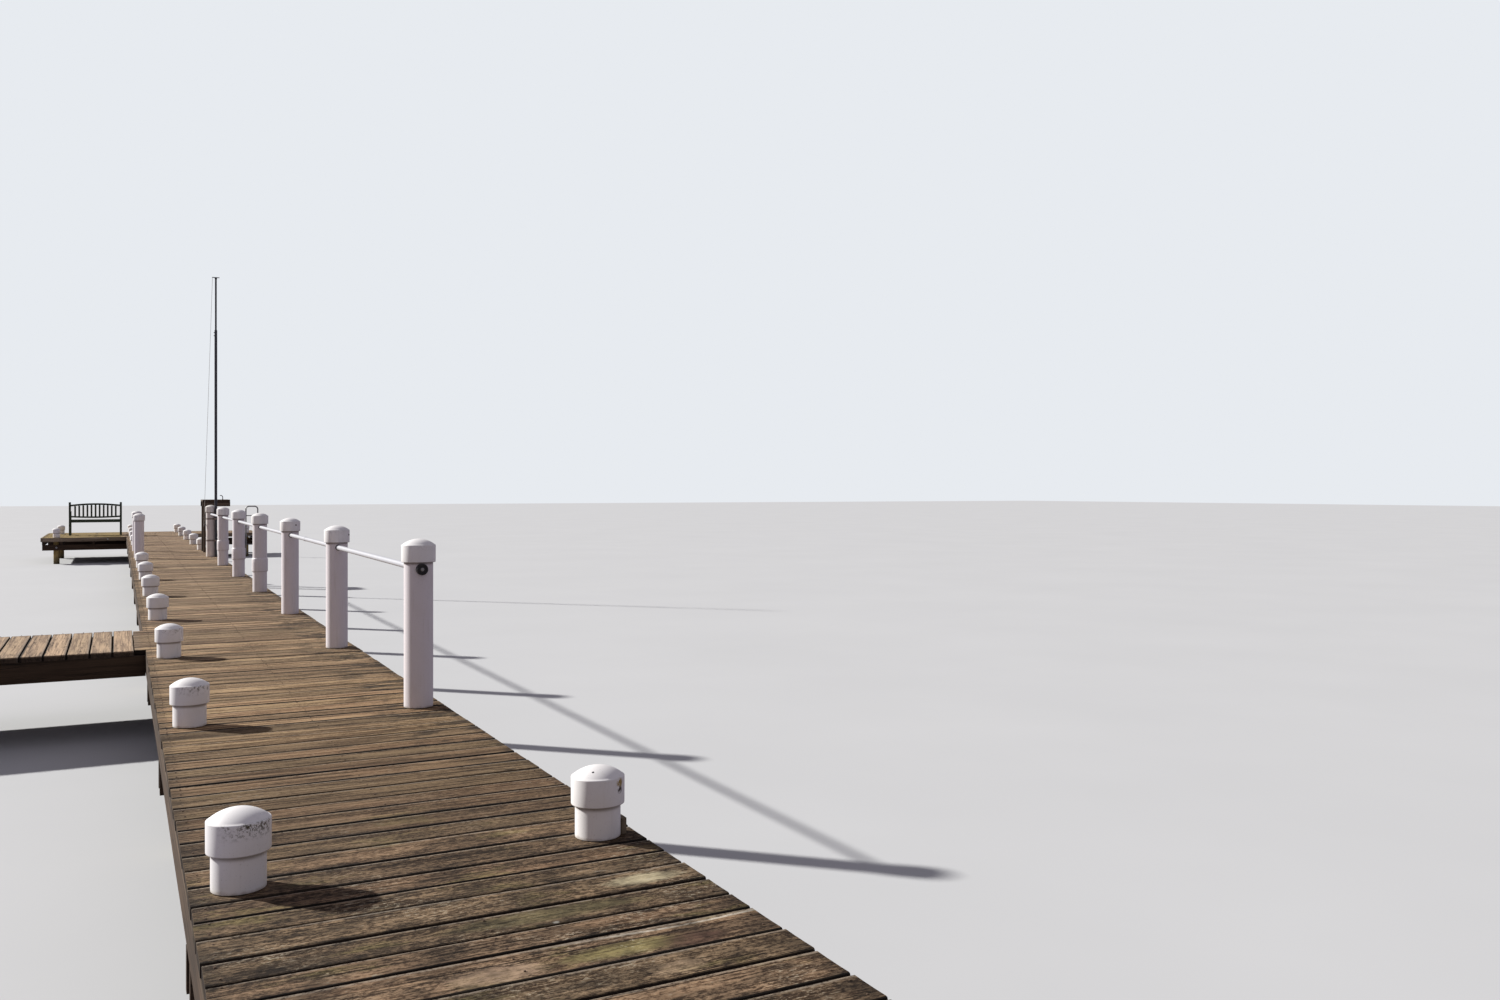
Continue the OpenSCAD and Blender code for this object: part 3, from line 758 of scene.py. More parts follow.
@dataclass(frozen=True)
class Timber:
    """Weathered sawn timber: grain, checks, tones from board to board and dark ends."""

    name: str
    pale: Colour
    dark: Colour
    stain: Colour
    contrast: float = 1.0
    checks: float = 0.7
    wet: float = 0.0

    def grain(self, r: Recipe) -> tuple[Sock, Sock, Sock, Sock, Sock, Sock]:
        """The grain's streaks and checks, and the piece's two tones and end distance.

        Streaks are noise drawn out along the board. A check is where another drawn-out noise
        comes within a hair of its middle value, cut short by a slower noise.

        Args:
            r: The recipe to add the nodes to.

        Returns:
            Streaks, fine fibres, checks, first tone, second tone and end distance.
        """
        lie = r.attribute("lie")
        streaks = r.noise(r.scaled(lie, (1.1, 34, 34)), detail=5, rough=0.62, twist=0.4)
        fibres = r.noise(r.scaled(lie, (5, 190, 190)), detail=3, rough=0.6)
        line = r.noise(r.scaled(lie, (0.8, 19, 19), (3, 5, 7)), detail=3, rough=0.5, twist=0.6)
        short = r.noise(r.scaled(lie, (2.2, 7, 7), (9, 2, 4)), detail=2)
        checks = abs(line - 0.5).band(0.016, 0.004) * short.band(0.47, 0.56)
        return streaks, fibres, checks, *r.parts(r.attribute("mark"))

    def make(self) -> Material:
        """The finish as a material.

        Returns:
            The material.
        """
        r = Recipe(self.name)
        streaks, fibres, checks, tone, hue, end = self.grain(r)
        share = streaks.band(0.5 - 0.2 / self.contrast, 0.5 + 0.2 / self.contrast)
        stained = (hue * 0.5 + 0.4).math("MINIMUM", 1.0, clamp=True) * 0.5
        colour = r.mix(stained, r.mix(share, self.dark, self.pale), self.stain)
        light = (0.72 + fibres * 0.56) * (1 + tone * 0.14) * (1 - checks * self.checks)
        light = light * (0.8 + end.band(0, 0.05) * 0.2)
        if self.wet:
            damp = r.noise(r.place(), 2.5, 3) * 0.16 + r.parts(r.place())[2]
            light = light * (1 - self.wet * damp.band(0.44, 0.16))
        relief = fibres * 0.5 + streaks * 0.9 - checks * 1.2
        return r.finish(r.dim(colour, light), 0.88 - streaks * 0.16, relief, 0.0012,
                        Specular_IOR_Level=0.3)


@dataclass(frozen=True)
class Log(Timber):
    """Bare round piles: long streaks, a wet foot with growth and a tide line."""

    growth: Colour = (0.09, 0.085, 0.030)
    shell: Colour = (0.42, 0.40, 0.33)

    def make(self) -> Material:
        """The finish as a material.

        Returns:
            The material.
        """
        r = Recipe(self.name)
        streaks, fibres, checks, tone, hue, _ = self.grain(r)
        spot = r.place()
        colour = r.mix(streaks.band(0.35, 0.65), self.dark, self.pale)
        patch = r.noise(spot, 5, 4, 0.6)
        colour = r.mix(patch.band(0.46, 0.62) * (0.45 + hue * 0.3), colour, self.stain)
        tide = r.parts(spot)[2] + (patch - 0.5) * 0.16
        colour = r.mix(tide.band(0.24, 0.08) * 0.65, colour, self.growth)
        shells = r.noise(spot, 75, 3, 0.7).band(0.56, 0.62) * tide.band(0.2, 0.06)
        colour = r.mix(shells * 0.8, colour, self.shell)
        light = (0.7 + fibres * 0.6) * (1 + tone * 0.1) * (1 - checks * self.checks)
        light = light * (1 - tide.band(0.09, 0.01) * 0.5)
        relief = fibres * 0.5 + streaks - checks * 1.4 + shells * 1.5
        rough = 0.86 - tide.band(0.2, 0.05) * 0.35
        return r.finish(r.dim(colour, light), rough, relief, 0.003, Specular_IOR_Level=0.35)


@dataclass(frozen=True)
class Blot:
    """One stain on the deck, seen in the photograph: its middle, half sizes and colour."""

    x: float
    y: float
    half_x: float
    half_y: float
    colour: Colour
    strength: float


@dataclass(frozen=True)
class DeckTimber:
    """The deck boards, which are darker and mossy at the shore and greyer further out."""

    name: str
    rust: Colour = (0.25, 0.135, 0.07)
    moss: Colour = (0.185, 0.165, 0.05)
    crust: Colour = (0.42, 0.38, 0.29)
    wing: Colour = (0.31, 0.225, 0.065)
    # Pale colour of the boards' far edges, partly worn wood and partly a painted highlight.
    edge: Colour = (0.34, 0.285, 0.225)
    # Painted shade for the boards' sides and the gaps between them.
    gap_shade: Colour = (0.022, 0.016, 0.012)
    deep: Colour = (1.0, 0.86, 0.74)
    bleached: Colour = (0.97, 1.015, 1.05)
    plank: Colour = (0.43, 0.33, 0.25)
    cool: Colour = (0.985, 1.0, 0.96)
    warm: Colour = (1.015, 0.995, 0.985)
    splinter: Colour = (0.38, 0.34, 0.28)
    split_y: float = -0.968
    stops: tuple[tuple[float, Colour], ...] = (
        (0.0, (0.104, 0.069, 0.042)), (0.06, (0.105, 0.068, 0.040)),
        (0.09, (0.117, 0.076, 0.042)), (0.14, (0.236, 0.154, 0.084)),
        (0.32, (0.274, 0.186, 0.113)), (1.0, (0.306, 0.212, 0.137)))
    blots: tuple[Blot, ...] = (
        Blot(0.30, -1.065, 0.30, 0.085, (0.185, 0.155, 0.065), 0.8),
        Blot(0.51, -1.085, 0.16, 0.08, (0.085, 0.045, 0.032), 0.7),
        Blot(-0.07, -1.07, 0.22, 0.10, (0.27, 0.19, 0.13), 0.7),
        Blot(0.38, -1.26, 0.14, 0.07, (0.27, 0.195, 0.125), 0.7),
        Blot(0.58, -0.535, 0.20, 0.075, (0.36, 0.31, 0.20), 0.75),
        Blot(0.20, -0.70, 0.50, 0.08, (0.16, 0.135, 0.065), 0.6),
        Blot(0.192, -0.777, 0.016, 0.012, (0.60, 0.57, 0.50), 1.0),
        Blot(-0.03, 0.372, 0.016, 0.012, (0.02, 0.012, 0.008), 1.0))

    def ground(self, r: Recipe, y: Sock) -> NodeSocket:
        """The boards' mean colour along the walkway."""
        run = (y - PLAN.shore_y) / (PLAN.end_y - PLAN.shore_y)
        return r.node("ShaderNodeValToRGB", {"stops": self.stops}, {0: run}).outputs[0]

    def stains(self, r: Recipe, colour: Value, share: Sock, shore: Sock, thick: Sock,
               aside: Sock) -> NodeSocket:
        """Moss, the head's olive wing, the paler finger, the single blots and one splinter.

        Args:
            r: The recipe.
            colour: The boards' colour so far.
            share: The grain, which breaks the stains up.
            shore: 1 at the shore end and 0 further out.
            thick: Noise about 0 that breaks up the blots.
            aside: 1 on the finger and 0 elsewhere.

        Returns:
            The stained colour.
        """
        spot = r.place()
        x, y, _ = r.parts(spot)
        moss = r.noise(r.scaled(spot, (1.2, 3.2, 1)), 1.9, 5, 0.68).band(0.54, 0.66)
        colour = r.cover(moss * share.band(0.36, 0.58) * (0.06 + shore * 0.4), colour, self.moss)
        wing = x.band(-0.8, -0.95) * y.band(32.5, 32.8)
        colour = r.cover(wing * 0.72, colour, self.wing)
        plank = r.dim(r.mix(0.5, self.plank, r.dim(colour, 1.5)), 0.72 + share * 0.5)
        colour = r.mix(aside * 0.85, colour, plank)
        for blot in self.blots:
            shape = r.blot((blot.x, blot.y, PLAN.deck_z), (blot.half_x, blot.half_y, 0.2))
            colour = r.cover((shape * 1.6 - 0.6 + thick) * blot.strength, colour, blot.colour)
        wave = y - self.split_y - (x * 9).math("SINE") * 0.008
        split = abs(wave).band(0.0085, 0.004) * x.band(0.05, 0.35) * (0.85 + thick)
        return r.cover(split, colour, self.splinter)

    def make(self) -> Material:
        """The finish as a material.

        Each board has fibres, streaks, blotches and specks of its own, checks along its grain, a
        paler far edge that is partly wear and partly painted highlight, painted shade on its near
        edge and its sides, and a few knots, and its tone shifts from board to board. Stains lie
        over several boards at once.

        Returns:
            The material.
        """
        r = Recipe(self.name)
        lie, spot = r.attribute("lie"), r.place()
        tone, hue, end = r.parts(r.attribute("mark"))
        across, _, _ = r.parts(r.attribute("rim"))
        x, y, z = r.parts(spot)
        shore = y.band(1.6, -0.6)
        aside = x.band(-0.78, -0.86) * y.band(8.6, 8.2)

        # Grain
        fibres = r.noise(r.scaled(lie, (1.6, 120, 120)), detail=5, rough=0.72)
        streak = r.noise(r.scaled(lie, (1.3, 34, 34), (6, 2, 9)), detail=5, rough=0.7)
        blotch = r.noise(r.scaled(lie, (2.2, 14, 14), (4, 1, 8)), detail=5, rough=0.66, twist=0.2)
        specks = r.noise(r.scaled(lie, (46, 92, 92), (2, 6, 3)), detail=4, rough=0.8)
        line = r.noise(r.scaled(lie, (0.9, 26, 26), (3, 5, 7)), detail=4, rough=0.6, twist=0.2)
        short = r.noise(r.scaled(lie, (3, 9, 9), (9, 2, 4)), detail=2)
        checks = abs(line - 0.5).band(0.014, 0.003) * short.band(0.46, 0.54)
        share = fibres * (0.38 - shore * 0.06) + (streak - 0.152) * (0.46 - shore * 0.46)
        share = share + blotch * (0.06 + shore * 0.12) + specks * (0.24 + shore * 0.26)

        # Colour
        ground = self.ground(r, y)
        dark = r.mix(1.0, r.dim(ground, 0.42 - shore * 0.14), self.deep, "MULTIPLY")
        pale = r.mix(1.0, r.dim(ground, 1.74 + shore * 0.35), self.bleached, "MULTIPLY")
        tint = r.mix(hue.band(-0.9, 0.9), self.cool, self.warm)
        colour = r.mix(1.0, r.mix(share.band(0.448, 0.557), dark, pale), tint, "MULTIPLY")
        reddened = (hue * 0.3 + (blotch - 0.5) * 1.6).band(0.05, 0.5)
        colour = r.cover(reddened * 0.2, colour, self.rust)
        thick = (blotch - 0.5) * 2.4 + (specks - 0.5) * 3.4
        colour = self.stains(r, colour, share, shore, thick, aside)
        patch = r.noise(spot, 2.6, 3, 0.6).band(0.52, 0.66)
        crust = specks.band(0.555, 0.62) * patch * (0.1 + shore * 0.75)
        colour = r.cover(crust, colour, self.crust)

        # Painted shade at each board's near edge, and tone, clouds, checks, dark ends, grooves,
        # knots and grime
        inside = y.band(PLAN.shore_y + 0.012, PLAN.shore_y + 0.03)
        inside = inside * y.band(PLAN.end_y - 0.012, PLAN.end_y - 0.03)
        # Each board's near edge faces away from the sun and is darkened: painted shade, over a
        # wider strip on some boards away from the shore; inside fades it out at the deck's two
        # ends.
        wide = across.band(-0.74, -0.84) * hue.band(0.1, 0.4) * (1 - shore) * 0.6
        joint = (across.band(-0.88, -0.94) * (0.5 + hue.band(-0.5, 0.5) * 0.35) + wide) * inside
        wander = across - tone * 0.7 + (line - 0.5) * 0.5
        groove = abs(wander).band(0.05, 0.012) * hue.band(0, 0.2)
        knots = r.knots(r.scaled(lie, (2.2, 6.5, 6.5), (7, 3, 1)))
        side = x.band(0.2, 0.5) * y.band(20, 16) * y.band(0.6, 2.4)
        grime = r.noise(r.scaled(spot, (1, 2, 1)), 3.6, 6, 0.72).band(0.5, 0.58) * side
        cloud = r.noise(r.scaled(spot, (1, 1.8, 1), (5, 8, 2)), 5.5, 5, 0.66)
        light = (1 + tone * (0.32 - shore * 0.1 - aside * 0.2)) * (1 - joint.band(0, 1))
        light = light * (1 + (cloud.band(0.36, 0.64) - 0.5) * shore * 0.9)
        light = light * (1 - checks * 0.72) * (0.66 + end.band(0, 0.07) * 0.34)
        light = light * (1 - grime * 0.72) * (1 - groove * 0.5) * (1 - knots * 0.7)

        # Edges, with wear and painted highlight, painted shade in the gaps, and relief
        # The boards' far edges, which face the sun, take the pale edge colour: partly worn wood and
        # partly a painted highlight.
        worn = across.band(0.76, 0.88) * specks.band(0.36, 0.52)
        colour = r.cover(worn * 0.62, r.dim(colour, light), r.dim(self.edge, 0.55 + blotch * 0.9))
        # The boards' sides and the gaps between them are painted near black: painted shade, weaker
        # at the deck's two ends.
        sides = z.band(PLAN.deck_z - 0.006, PLAN.deck_z - 0.016) * 0.85
        sides = sides + abs(across).band(0.965, 0.995)
        colour = r.cover(sides * (0.15 + inside * 0.8), colour, self.gap_shade)
        relief = fibres * 0.7 + blotch * 0.4 + specks * 0.3 - checks * 1.6 - groove + crust * 0.4
        return r.finish(colour, 0.93 - blotch * 0.16, relief, 0.0022, Specular_IOR_Level=0.2)


@dataclass(frozen=True)
class Moulding:
    """White plastic pipe and caps, with dirt runs, splashes at the deck, mildew specks and a
    painted shadow line under each cap's lip.
    """

    name: str
    white: Colour
    cap: bool
    aged: Colour = (0.66, 0.58, 0.42)
    dull: Colour = (0.66, 0.62, 0.54)
    dirt: Colour = (0.42, 0.37, 0.29)
    speck: Colour = (0.16, 0.13, 0.09)
    mud: Colour = (0.30, 0.24, 0.17)
    # Painted shadow line under a cap's lip.
    lip_shadow: Colour = (0.20, 0.16, 0.13)
    mould: Colour = (0.115, 0.105, 0.07)
    rim_dirt: Colour = (0.16, 0.105, 0.055)
    rust: Colour = (0.035, 0.018, 0.006)
    rust_halo: Colour = (0.36, 0.24, 0.05)

    def make(self) -> Material:
        """The finish as a material.

        Returns:
            The material.
        """
        r = Recipe(self.name)
        spot = r.place()
        _, _, lz = r.parts(r.attribute("lie"))
        age, mildew, _ = r.parts(r.attribute("mark"))
        clouds = r.noise(spot, 7, 4, 0.6)
        runs = r.noise(r.scaled(spot, (38, 38, 3)), 1, 4, 0.6).band(0.52, 0.72)
        colour = r.mix(age.band(0, 1) * 0.85, self.white, self.aged)
        colour = r.mix(clouds.band(0.5, 0.75) * 0.12, colour, self.dull)
        colour = r.mix(runs * (0.08 if self.cap else 0.14), colour, self.dirt)
        specks = r.noise(spot, 210, 2, 0.6).band(0.64, 0.70)
        colour = r.mix(specks * 0.22, colour, self.speck)
        if self.cap:
            colour, relief = self.cap_marks(r, colour, mildew, clouds)
        else:
            splash = lz + r.noise(spot, 30, 3) * 0.03
            colour = r.mix(splash.band(0.03, 0.012) * 0.6, colour, self.mud)
            # For a sleeve the mark's second tone, read here as mildew, is the height of its cap's
            # lip; just under that lip the sleeve gets a painted shadow line.
            below = mildew - lz
            line = below.band(0.02, 0.004) * below.band(-0.002, 0)
            colour = r.mix(line * 0.7, colour, self.lip_shadow)
            relief = clouds * 0.5
        return r.finish(colour, 0.34 + clouds * 0.3, relief, 0.0006, Specular_IOR_Level=0.42)

    def cap_marks(self, r: Recipe, colour: Value, mildew: Sock,
                  clouds: Sock) -> tuple[NodeSocket, Sock]:
        """Mildew at the shoulder's shaded side, a dirty rim and one rust mark.

        Args:
            r: The recipe.
            colour: The colour so far.
            mildew: How much grows on this cap.
            clouds: The moulding's own relief.

        Returns:
            The colour and the relief.
        """
        spot = r.place()
        lx, ly, lz = r.parts(r.attribute("lie"))
        shade_side = (lx * 0.34 - ly * 0.94).band(0.035, 0.085)
        top = lz.band(0.010, 0.001) * lz.band(-0.058, -0.006)
        thick = r.noise(spot, 85, 5, 0.75).band(0.49, 0.56) * r.noise(spot, 21, 2).band(0.38, 0.54)
        mould = thick * shade_side * top * mildew
        colour = r.cover(mould, colour, self.mould)
        rim = lz.band(-0.0935, -0.0965) * (0.45 + clouds * 0.6)
        colour = r.cover(rim * 0.8, colour, self.rim_dirt)
        ragged = r.noise(spot, 85, 3).band(0.36, 0.5)
        for dz, reach, tint in ((0.206, 0.024, self.rust_halo), (0.181, 0.018, self.rust)):
            at = (PLAN.pile_x + 0.0559, -0.0829, PLAN.deck_z + dz)
            colour = r.cover(r.blot(at, (reach, reach, reach)) * ragged, colour, tint)
        return colour, clouds * 0.3 + mould * 0.5


@dataclass(frozen=True)
class Coated:
    """Paint, plated steel or plain moulding: a base with clouds, wear specks and slight relief."""

    name: str
    base: Colour
    worn: Colour
    wear: float
    roughness: float
    metallic: float = 0.0
    grain: float = 60.0
    depth: float = 0.0004

    def make(self) -> Material:
        """The finish as a material.

        Returns:
            The material.
        """
        r = Recipe(self.name)
        spot = r.place()
        clouds = r.noise(spot, self.grain * 0.2, 4, 0.6)
        specks = r.noise(spot, self.grain * 2.2, 3, 0.65)
        share = clouds.band(0.45, 0.75) * 0.6 + specks.band(0.55, 0.66) * 0.7
        colour = r.mix((share * self.wear).math("MINIMUM", 1.0), self.base, self.worn)
        return r.finish(colour, self.roughness - 0.1 + clouds * 0.25, specks + clouds,
                        self.depth, Metallic=self.metallic)


@dataclass(frozen=True)
class Twist:
    """Thin laid line: two strands that wind round the centre line, with painted shade in the
    grooves between them.
    """

    name: str
    base: Colour

    def make(self) -> Material:
        """The finish as a material.

        Returns:
            The material.
        """
        r = Recipe(self.name)
        along, u, _ = r.parts(r.attribute("lie"))
        strand = (along * 520 + u * 900).math("SINE")
        # The grooves between the strands are dimmed: painted shade.
        colour = r.mix(strand.band(-0.9, 0.6), r.dim(self.base, 0.55), self.base)
        return r.finish(colour, 0.9, strand, 0.0005)


class Finishes:
    """Every material of the jetty, made once."""

    def __init__(self) -> None:
        """Makes them all."""
        white = (0.95, 0.945, 0.955)
        self.deck = DeckTimber("deck_boards").make()
        self.frame = Timber("frame_timber", (0.42, 0.35, 0.25), (0.17, 0.13, 0.085),
                            (0.16, 0.11, 0.06), wet=0.55).make()
        # The timbers under the deck take this far darker copy of the frame timber: painted shade
        # under the deck.
        self.under = Timber("under_deck_timber_shaded", (0.10, 0.064, 0.038), (0.027, 0.017, 0.010),
                            (0.055, 0.034, 0.016), wet=0.4).make()
        self.pile = Log("pile_timber", (0.60, 0.45, 0.18), (0.27, 0.195, 0.075),
                        (0.36, 0.26, 0.07)).make()
        self.sleeve = Moulding("sleeve_plastic", white, cap=False).make()
        # The tall posts' sleeves, their collars and the flagpole straps take the same white plastic
        # painted darker and lavender: painted shade, for the weaker bounce light the tall posts
        # get.
        self.post = Moulding("post_plastic_shaded", (0.83, 0.79, 0.83), cap=False).make()
        self.cap = Moulding("cap_plastic", white, cap=True).make()
        self.rail = Coated("rail_paint", (0.56, 0.58, 0.63), (0.40, 0.36, 0.30), 0.3, 0.38).make()
        self.black = Coated("black_moulding", (0.018, 0.018, 0.02), (0.07, 0.065, 0.06), 0.5,
                            0.42).make()
        self.pole = Coated("pole_paint", (0.045, 0.05, 0.065), (0.14, 0.12, 0.10), 0.45,
                           0.42).make()
        self.rope = Twist("halyard_line", (0.72, 0.70, 0.64)).make()
        self.table = Timber("table_timber", (0.15, 0.115, 0.085), (0.05, 0.038, 0.028),
                            (0.10, 0.065, 0.04), 1.2).make()
        self.steel = Coated("tap_metal", (0.06, 0.06, 0.065), (0.16, 0.13, 0.10), 0.5, 0.4,
                            0.6).make()
        self.zinc = Coated("ladder_metal", (0.36, 0.37, 0.37), (0.18, 0.145, 0.11), 0.6, 0.42,
                           0.7).make()
        self.nail = Coated("rusted_steel", (0.12, 0.08, 0.055), (0.20, 0.12, 0.08), 0.7, 0.75,
                           0.3).make()
        self.bench = Timber("bench_paint", (0.072, 0.10, 0.078), (0.024, 0.038, 0.029),
                            (0.06, 0.065, 0.045), 1.1, 0.5).make()


# Sub-assemblies


@dataclass
class Assembly:
    """A group of pieces: its finishes, its random numbers and the way it hands pieces in."""

    finishes: Finishes
    rng: Rng

    def put(self, name: str, finish: Material, slot: str, patches: Iterable[Patch],
            *nodes: str) -> bpy.types.Object:
        """Makes a piece, gives it its finish and hides the CAD solids that it stands for.

        Args:
            name: The piece's name.
            finish: Its material.
            slot: Not used.
            patches: Its closed surfaces.
            nodes: The CAD nodes that it replaces.

        Returns:
            The finished object.
        """
        patches = list(patches)
        made = mesh_object(name, patches)
        made.data.materials.append(finish)
        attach(made, ROOT)
        if nodes:
            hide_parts(*nodes)
        log.info("%s: %d surfaces, %d faces", name, len(patches), len(made.data.polygons))
        return made

    def dress(self, name: str, finish: Material) -> None:
        """Gives a CAD node that stays in view its finish.

        Args:
            name: The node's name.
            finish: Its material.
        """
        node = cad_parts[name]
        node.data.materials.clear()
        node.data.materials.append(finish)
        log.info("%s: dressed as it is", name)


@dataclass
class Deck(Assembly):
    """The boards of the walkway, the head and the finger, with their nails."""

    joints: tuple[float, ...] = (-1.685, -1.513, -1.325, -1.144, -0.939, -0.796, -0.627, -0.437,
                                 -0.284, -0.131)
    width: Span = (0.155, 0.205)
    finger_pitch: float = 0.158
    finger_lap: float = 0.08
    wide_to: float = 0.4
    near_gap: Span = (0.0026, 0.0054)
    far_gap: Span = (0.0018, 0.0062)
    part_ends: Span = (10.5, 22.5)
    nail_xs: Triple = (-0.7325, 0.0, 0.7325)
    left_xs: tuple[float, ...] = (-2.74, -2.33, -1.55, -0.73, 0.0, 0.7325)
    right_xs: tuple[float, ...] = (0.81, 1.57, 2.33, 2.74)
    halved_at: Span = (-1.51, -0.7325)
    halved_gap: float = 0.002
    cut: Cut = Cut(edge=0.007, wander=0.0016, cup=0.0012, ragged=0.005, stations=18)
    nails: list[Patch] = field(default_factory=list)

    def lines(self, start: float, end: float, known: tuple[float, ...]) -> Array:
        """The board joints from start to end.

        Known joints stand where they are. The rest of the run is cut into random widths that
        are then stretched a little so that the last one ends at the end.

        Args:
            start: The first joint.
            end: The last joint.
            known: Joints between them that are given.

        Returns:
            All the joints.
        """
        fixed = [start, *known, end]
        found = [start]
        for low, high in zip(fixed, fixed[1:]):
            if high - low < self.width[1] * 1.4:
                found.append(high)
                continue
            count = max(1, round((high - low) / (sum(self.width) / 2)))
            widths = self.rng.uniform(*self.width, count)
            found.extend(low + np.cumsum(widths) * (high - low) / widths.sum())
        return np.array(found)

    def nail(self, x: float, y: float) -> None:
        """Adds two nail heads of one board over one stringer, a hair proud of the boards.

        Args:
            x: The stringer's place.
            y: The board's middle.
        """
        for side in (-1, 1):
            jog = self.rng.uniform(-0.006, 0.006, 2)
            spot = (x + jog[0], y + side * 0.045 + jog[1], PLAN.deck_z - 0.0008)
            self.nails.append(lathe(mm(0.4, -4, 3.4, -4, 3.4, 0.2, 0.4, 0.6), spot, 8,
                                    smooth=False))

    def board(self, x0: float, x1: float, y0: float, y1: float,
              nail_xs: Iterable[float]) -> Patch:
        """One board across the jetty, and its nails.

        Args:
            x0: Left end.
            x1: Right end.
            y0: Joint on its shore side.
            y1: Joint on its far side.
            nail_xs: Where it is nailed.

        Returns:
            The board.
        """
        gap = self.rng.uniform(*(self.near_gap if y0 < self.wide_to else self.far_gap))
        top = PLAN.deck_z - self.rng.uniform(0, 0.0026)
        made = timber((x0, y0 + gap, PLAN.board_z), (x1, y1 - gap, top), Run.X, self.rng, self.cut)
        for x in nail_xs:
            self.nail(x, (y0 + y1) / 2)
        return made

    def build(self) -> None:
        """Lays all the boards."""
        joints = self.lines(PLAN.shore_y, PLAN.head_y, self.joints)
        middles = (joints[:-1] + joints[1:]) / 2
        group = np.searchsorted((*self.part_ends, PLAN.head_y), middles)
        beside = (middles > PLAN.finger_y - 0.02) & (middles < PLAN.finger_far + 0.02)
        left = -PLAN.half - self.finger_lap * beside
        for n, part in enumerate(("shore_bays", "middle_bays", "outer_bays")):
            self.put(f"boards_{part}", self.finishes.deck, "deck_timber",
                     (self.board(left[k], PLAN.half, joints[k], joints[k + 1], self.nail_xs)
                      for k in np.flatnonzero(group == n)), f"deck_{part}")
        self.put("boards_head", self.finishes.deck, "deck_timber", self.head(), "deck_head")
        self.put("boards_finger", self.finishes.deck, "deck_timber", self.finger(), "deck_finger")
        self.put("deck_nails", self.finishes.nail, "ladder_metal", self.nails)

    def head(self) -> list[Patch]:
        """The head's boards; the left ones are halved at one of two places in turn.

        Returns:
            The boards.
        """
        ys = self.lines(PLAN.head_y, PLAN.end_y, (PLAN.right_y,))
        xs, gap, made = np.array(self.left_xs), self.halved_gap, []
        for n, (y0, y1) in enumerate(zip(ys, ys[1:])):
            split = self.halved_at[n % 2]
            made.append(self.board(-PLAN.head_half, split - gap, y0, y1, xs[xs < split]))
            made.append(self.board(split + gap, PLAN.half, y0, y1, xs[xs > split]))
            if y0 >= PLAN.right_y - 0.01:
                made.append(self.board(PLAN.half + PLAN.board_gap, PLAN.head_half, y0, y1,
                                       self.right_xs))
        return made

    def finger(self) -> list[Patch]:
        """The finger's boards, which run along the walkway over its three beams.

        Returns:
            The boards.
        """
        end, gap, made = -PLAN.half - self.finger_lap, PLAN.board_gap / 2, []
        count = round((end - PLAN.finger_end_x) / self.finger_pitch)
        xs = np.linspace(PLAN.finger_end_x, end, count + 1)
        for x0, x1 in zip(xs, xs[1:]):
            top = PLAN.deck_z - self.rng.uniform(0, 0.002)
            made.append(timber((x0 + gap, PLAN.finger_y, PLAN.board_z),
                               (x1 - gap, PLAN.finger_far, top), Run.Y, self.rng, self.cut))
            for y in (PLAN.finger_y + PLAN.beam_t / 2, PLAN.finger_y + PLAN.finger_w / 2,
                      PLAN.finger_far - PLAN.beam_t / 2):
                self.nail((x0 + x1) / 2, y)
        return made


@dataclass
class Piles(Assembly):
    """The round piles, with flats where their crossheads are housed."""

    sides: int = 30
    step: float = 0.0005

    def log(self, x: float, y: float, top: float, housed_at: float, turned: float = 0.0) -> Patch:
        """One pile.

        Its radius at turn t and height z is pile_r less two slow ripples, one that follows t and
        one that follows z, and no more than (pile_r - housing) / |sin(t - turned)| beside the
        crosshead, which leaves two flats.

        Args:
            x: Place across the walkway.
            y: Place along it.
            top: Height of its top.
            housed_at: Underside of its crosshead.
            turned: 90 degrees in radians for the finger's piles, else 0.

        Returns:
            The closed surface.
        """
        low, high = housed_at, housed_at + PLAN.member_h
        z = np.unique([*np.linspace(0, top, 26), low, low + self.step, high - self.step, high])
        t, z = turns(self.sides), z[:, None]
        wander = ripple(z[:, 0] * 2, self.rng, 0.002)[:, None]
        wander = wander + 0.0015 * (1 + np.sin(3 * t + self.rng.uniform(0, 6)))
        flat = (PLAN.pile_r - PLAN.housing) / np.maximum(np.abs(np.sin(t - turned)), 1e-6)
        beside = (z > low + self.step / 2) & (z < high - self.step / 2)
        r = np.minimum(PLAN.pile_r - wander, np.where(beside, flat, PLAN.pile_r))
        rows = stacked(x + r * np.cos(t), y + r * np.sin(t), z)
        lie = stacked(z, PLAN.pile_r * np.cos(t), PLAN.pile_r * np.sin(t))
        lie = lie + self.rng.uniform(-40, 40, 3)
        return grid_patch(rows, lie, stacked(*self.rng.uniform(-1, 1, 2), z))

    def build(self) -> None:
        """Stands all the piles."""
        low, held, room = PLAN.deck_z - PLAN.pile_top_room, PLAN.crosshead_z, PLAN.pile_top_room
        for word, side in SIDES:
            x = side * PLAN.pile_x
            logs = [self.log(x, PLAN.shore_bent_y, PLAN.board_z - room, held)]
            logs += [self.log(x, i * PLAN.bay, low + PLAN.sleeve_h(i, side), held)
                     for i in range(PLAN.bays + 1)]
            self.put(f"logs_{word}", self.finishes.pile, "pile_timber", logs, f"piles_{word}")
        for word, spots, under, turned in (
                ("head", PLAN.head_piles, held, 0.0),
                ("finger", PLAN.finger_piles, PLAN.beam_z - PLAN.member_h, math.pi / 2)):
            self.put(f"logs_{word}", self.finishes.pile, "pile_timber",
                     (self.log(x, y, low + PLAN.bollard_h, under, turned) for x, y in spots),
                     f"piles_{word}")


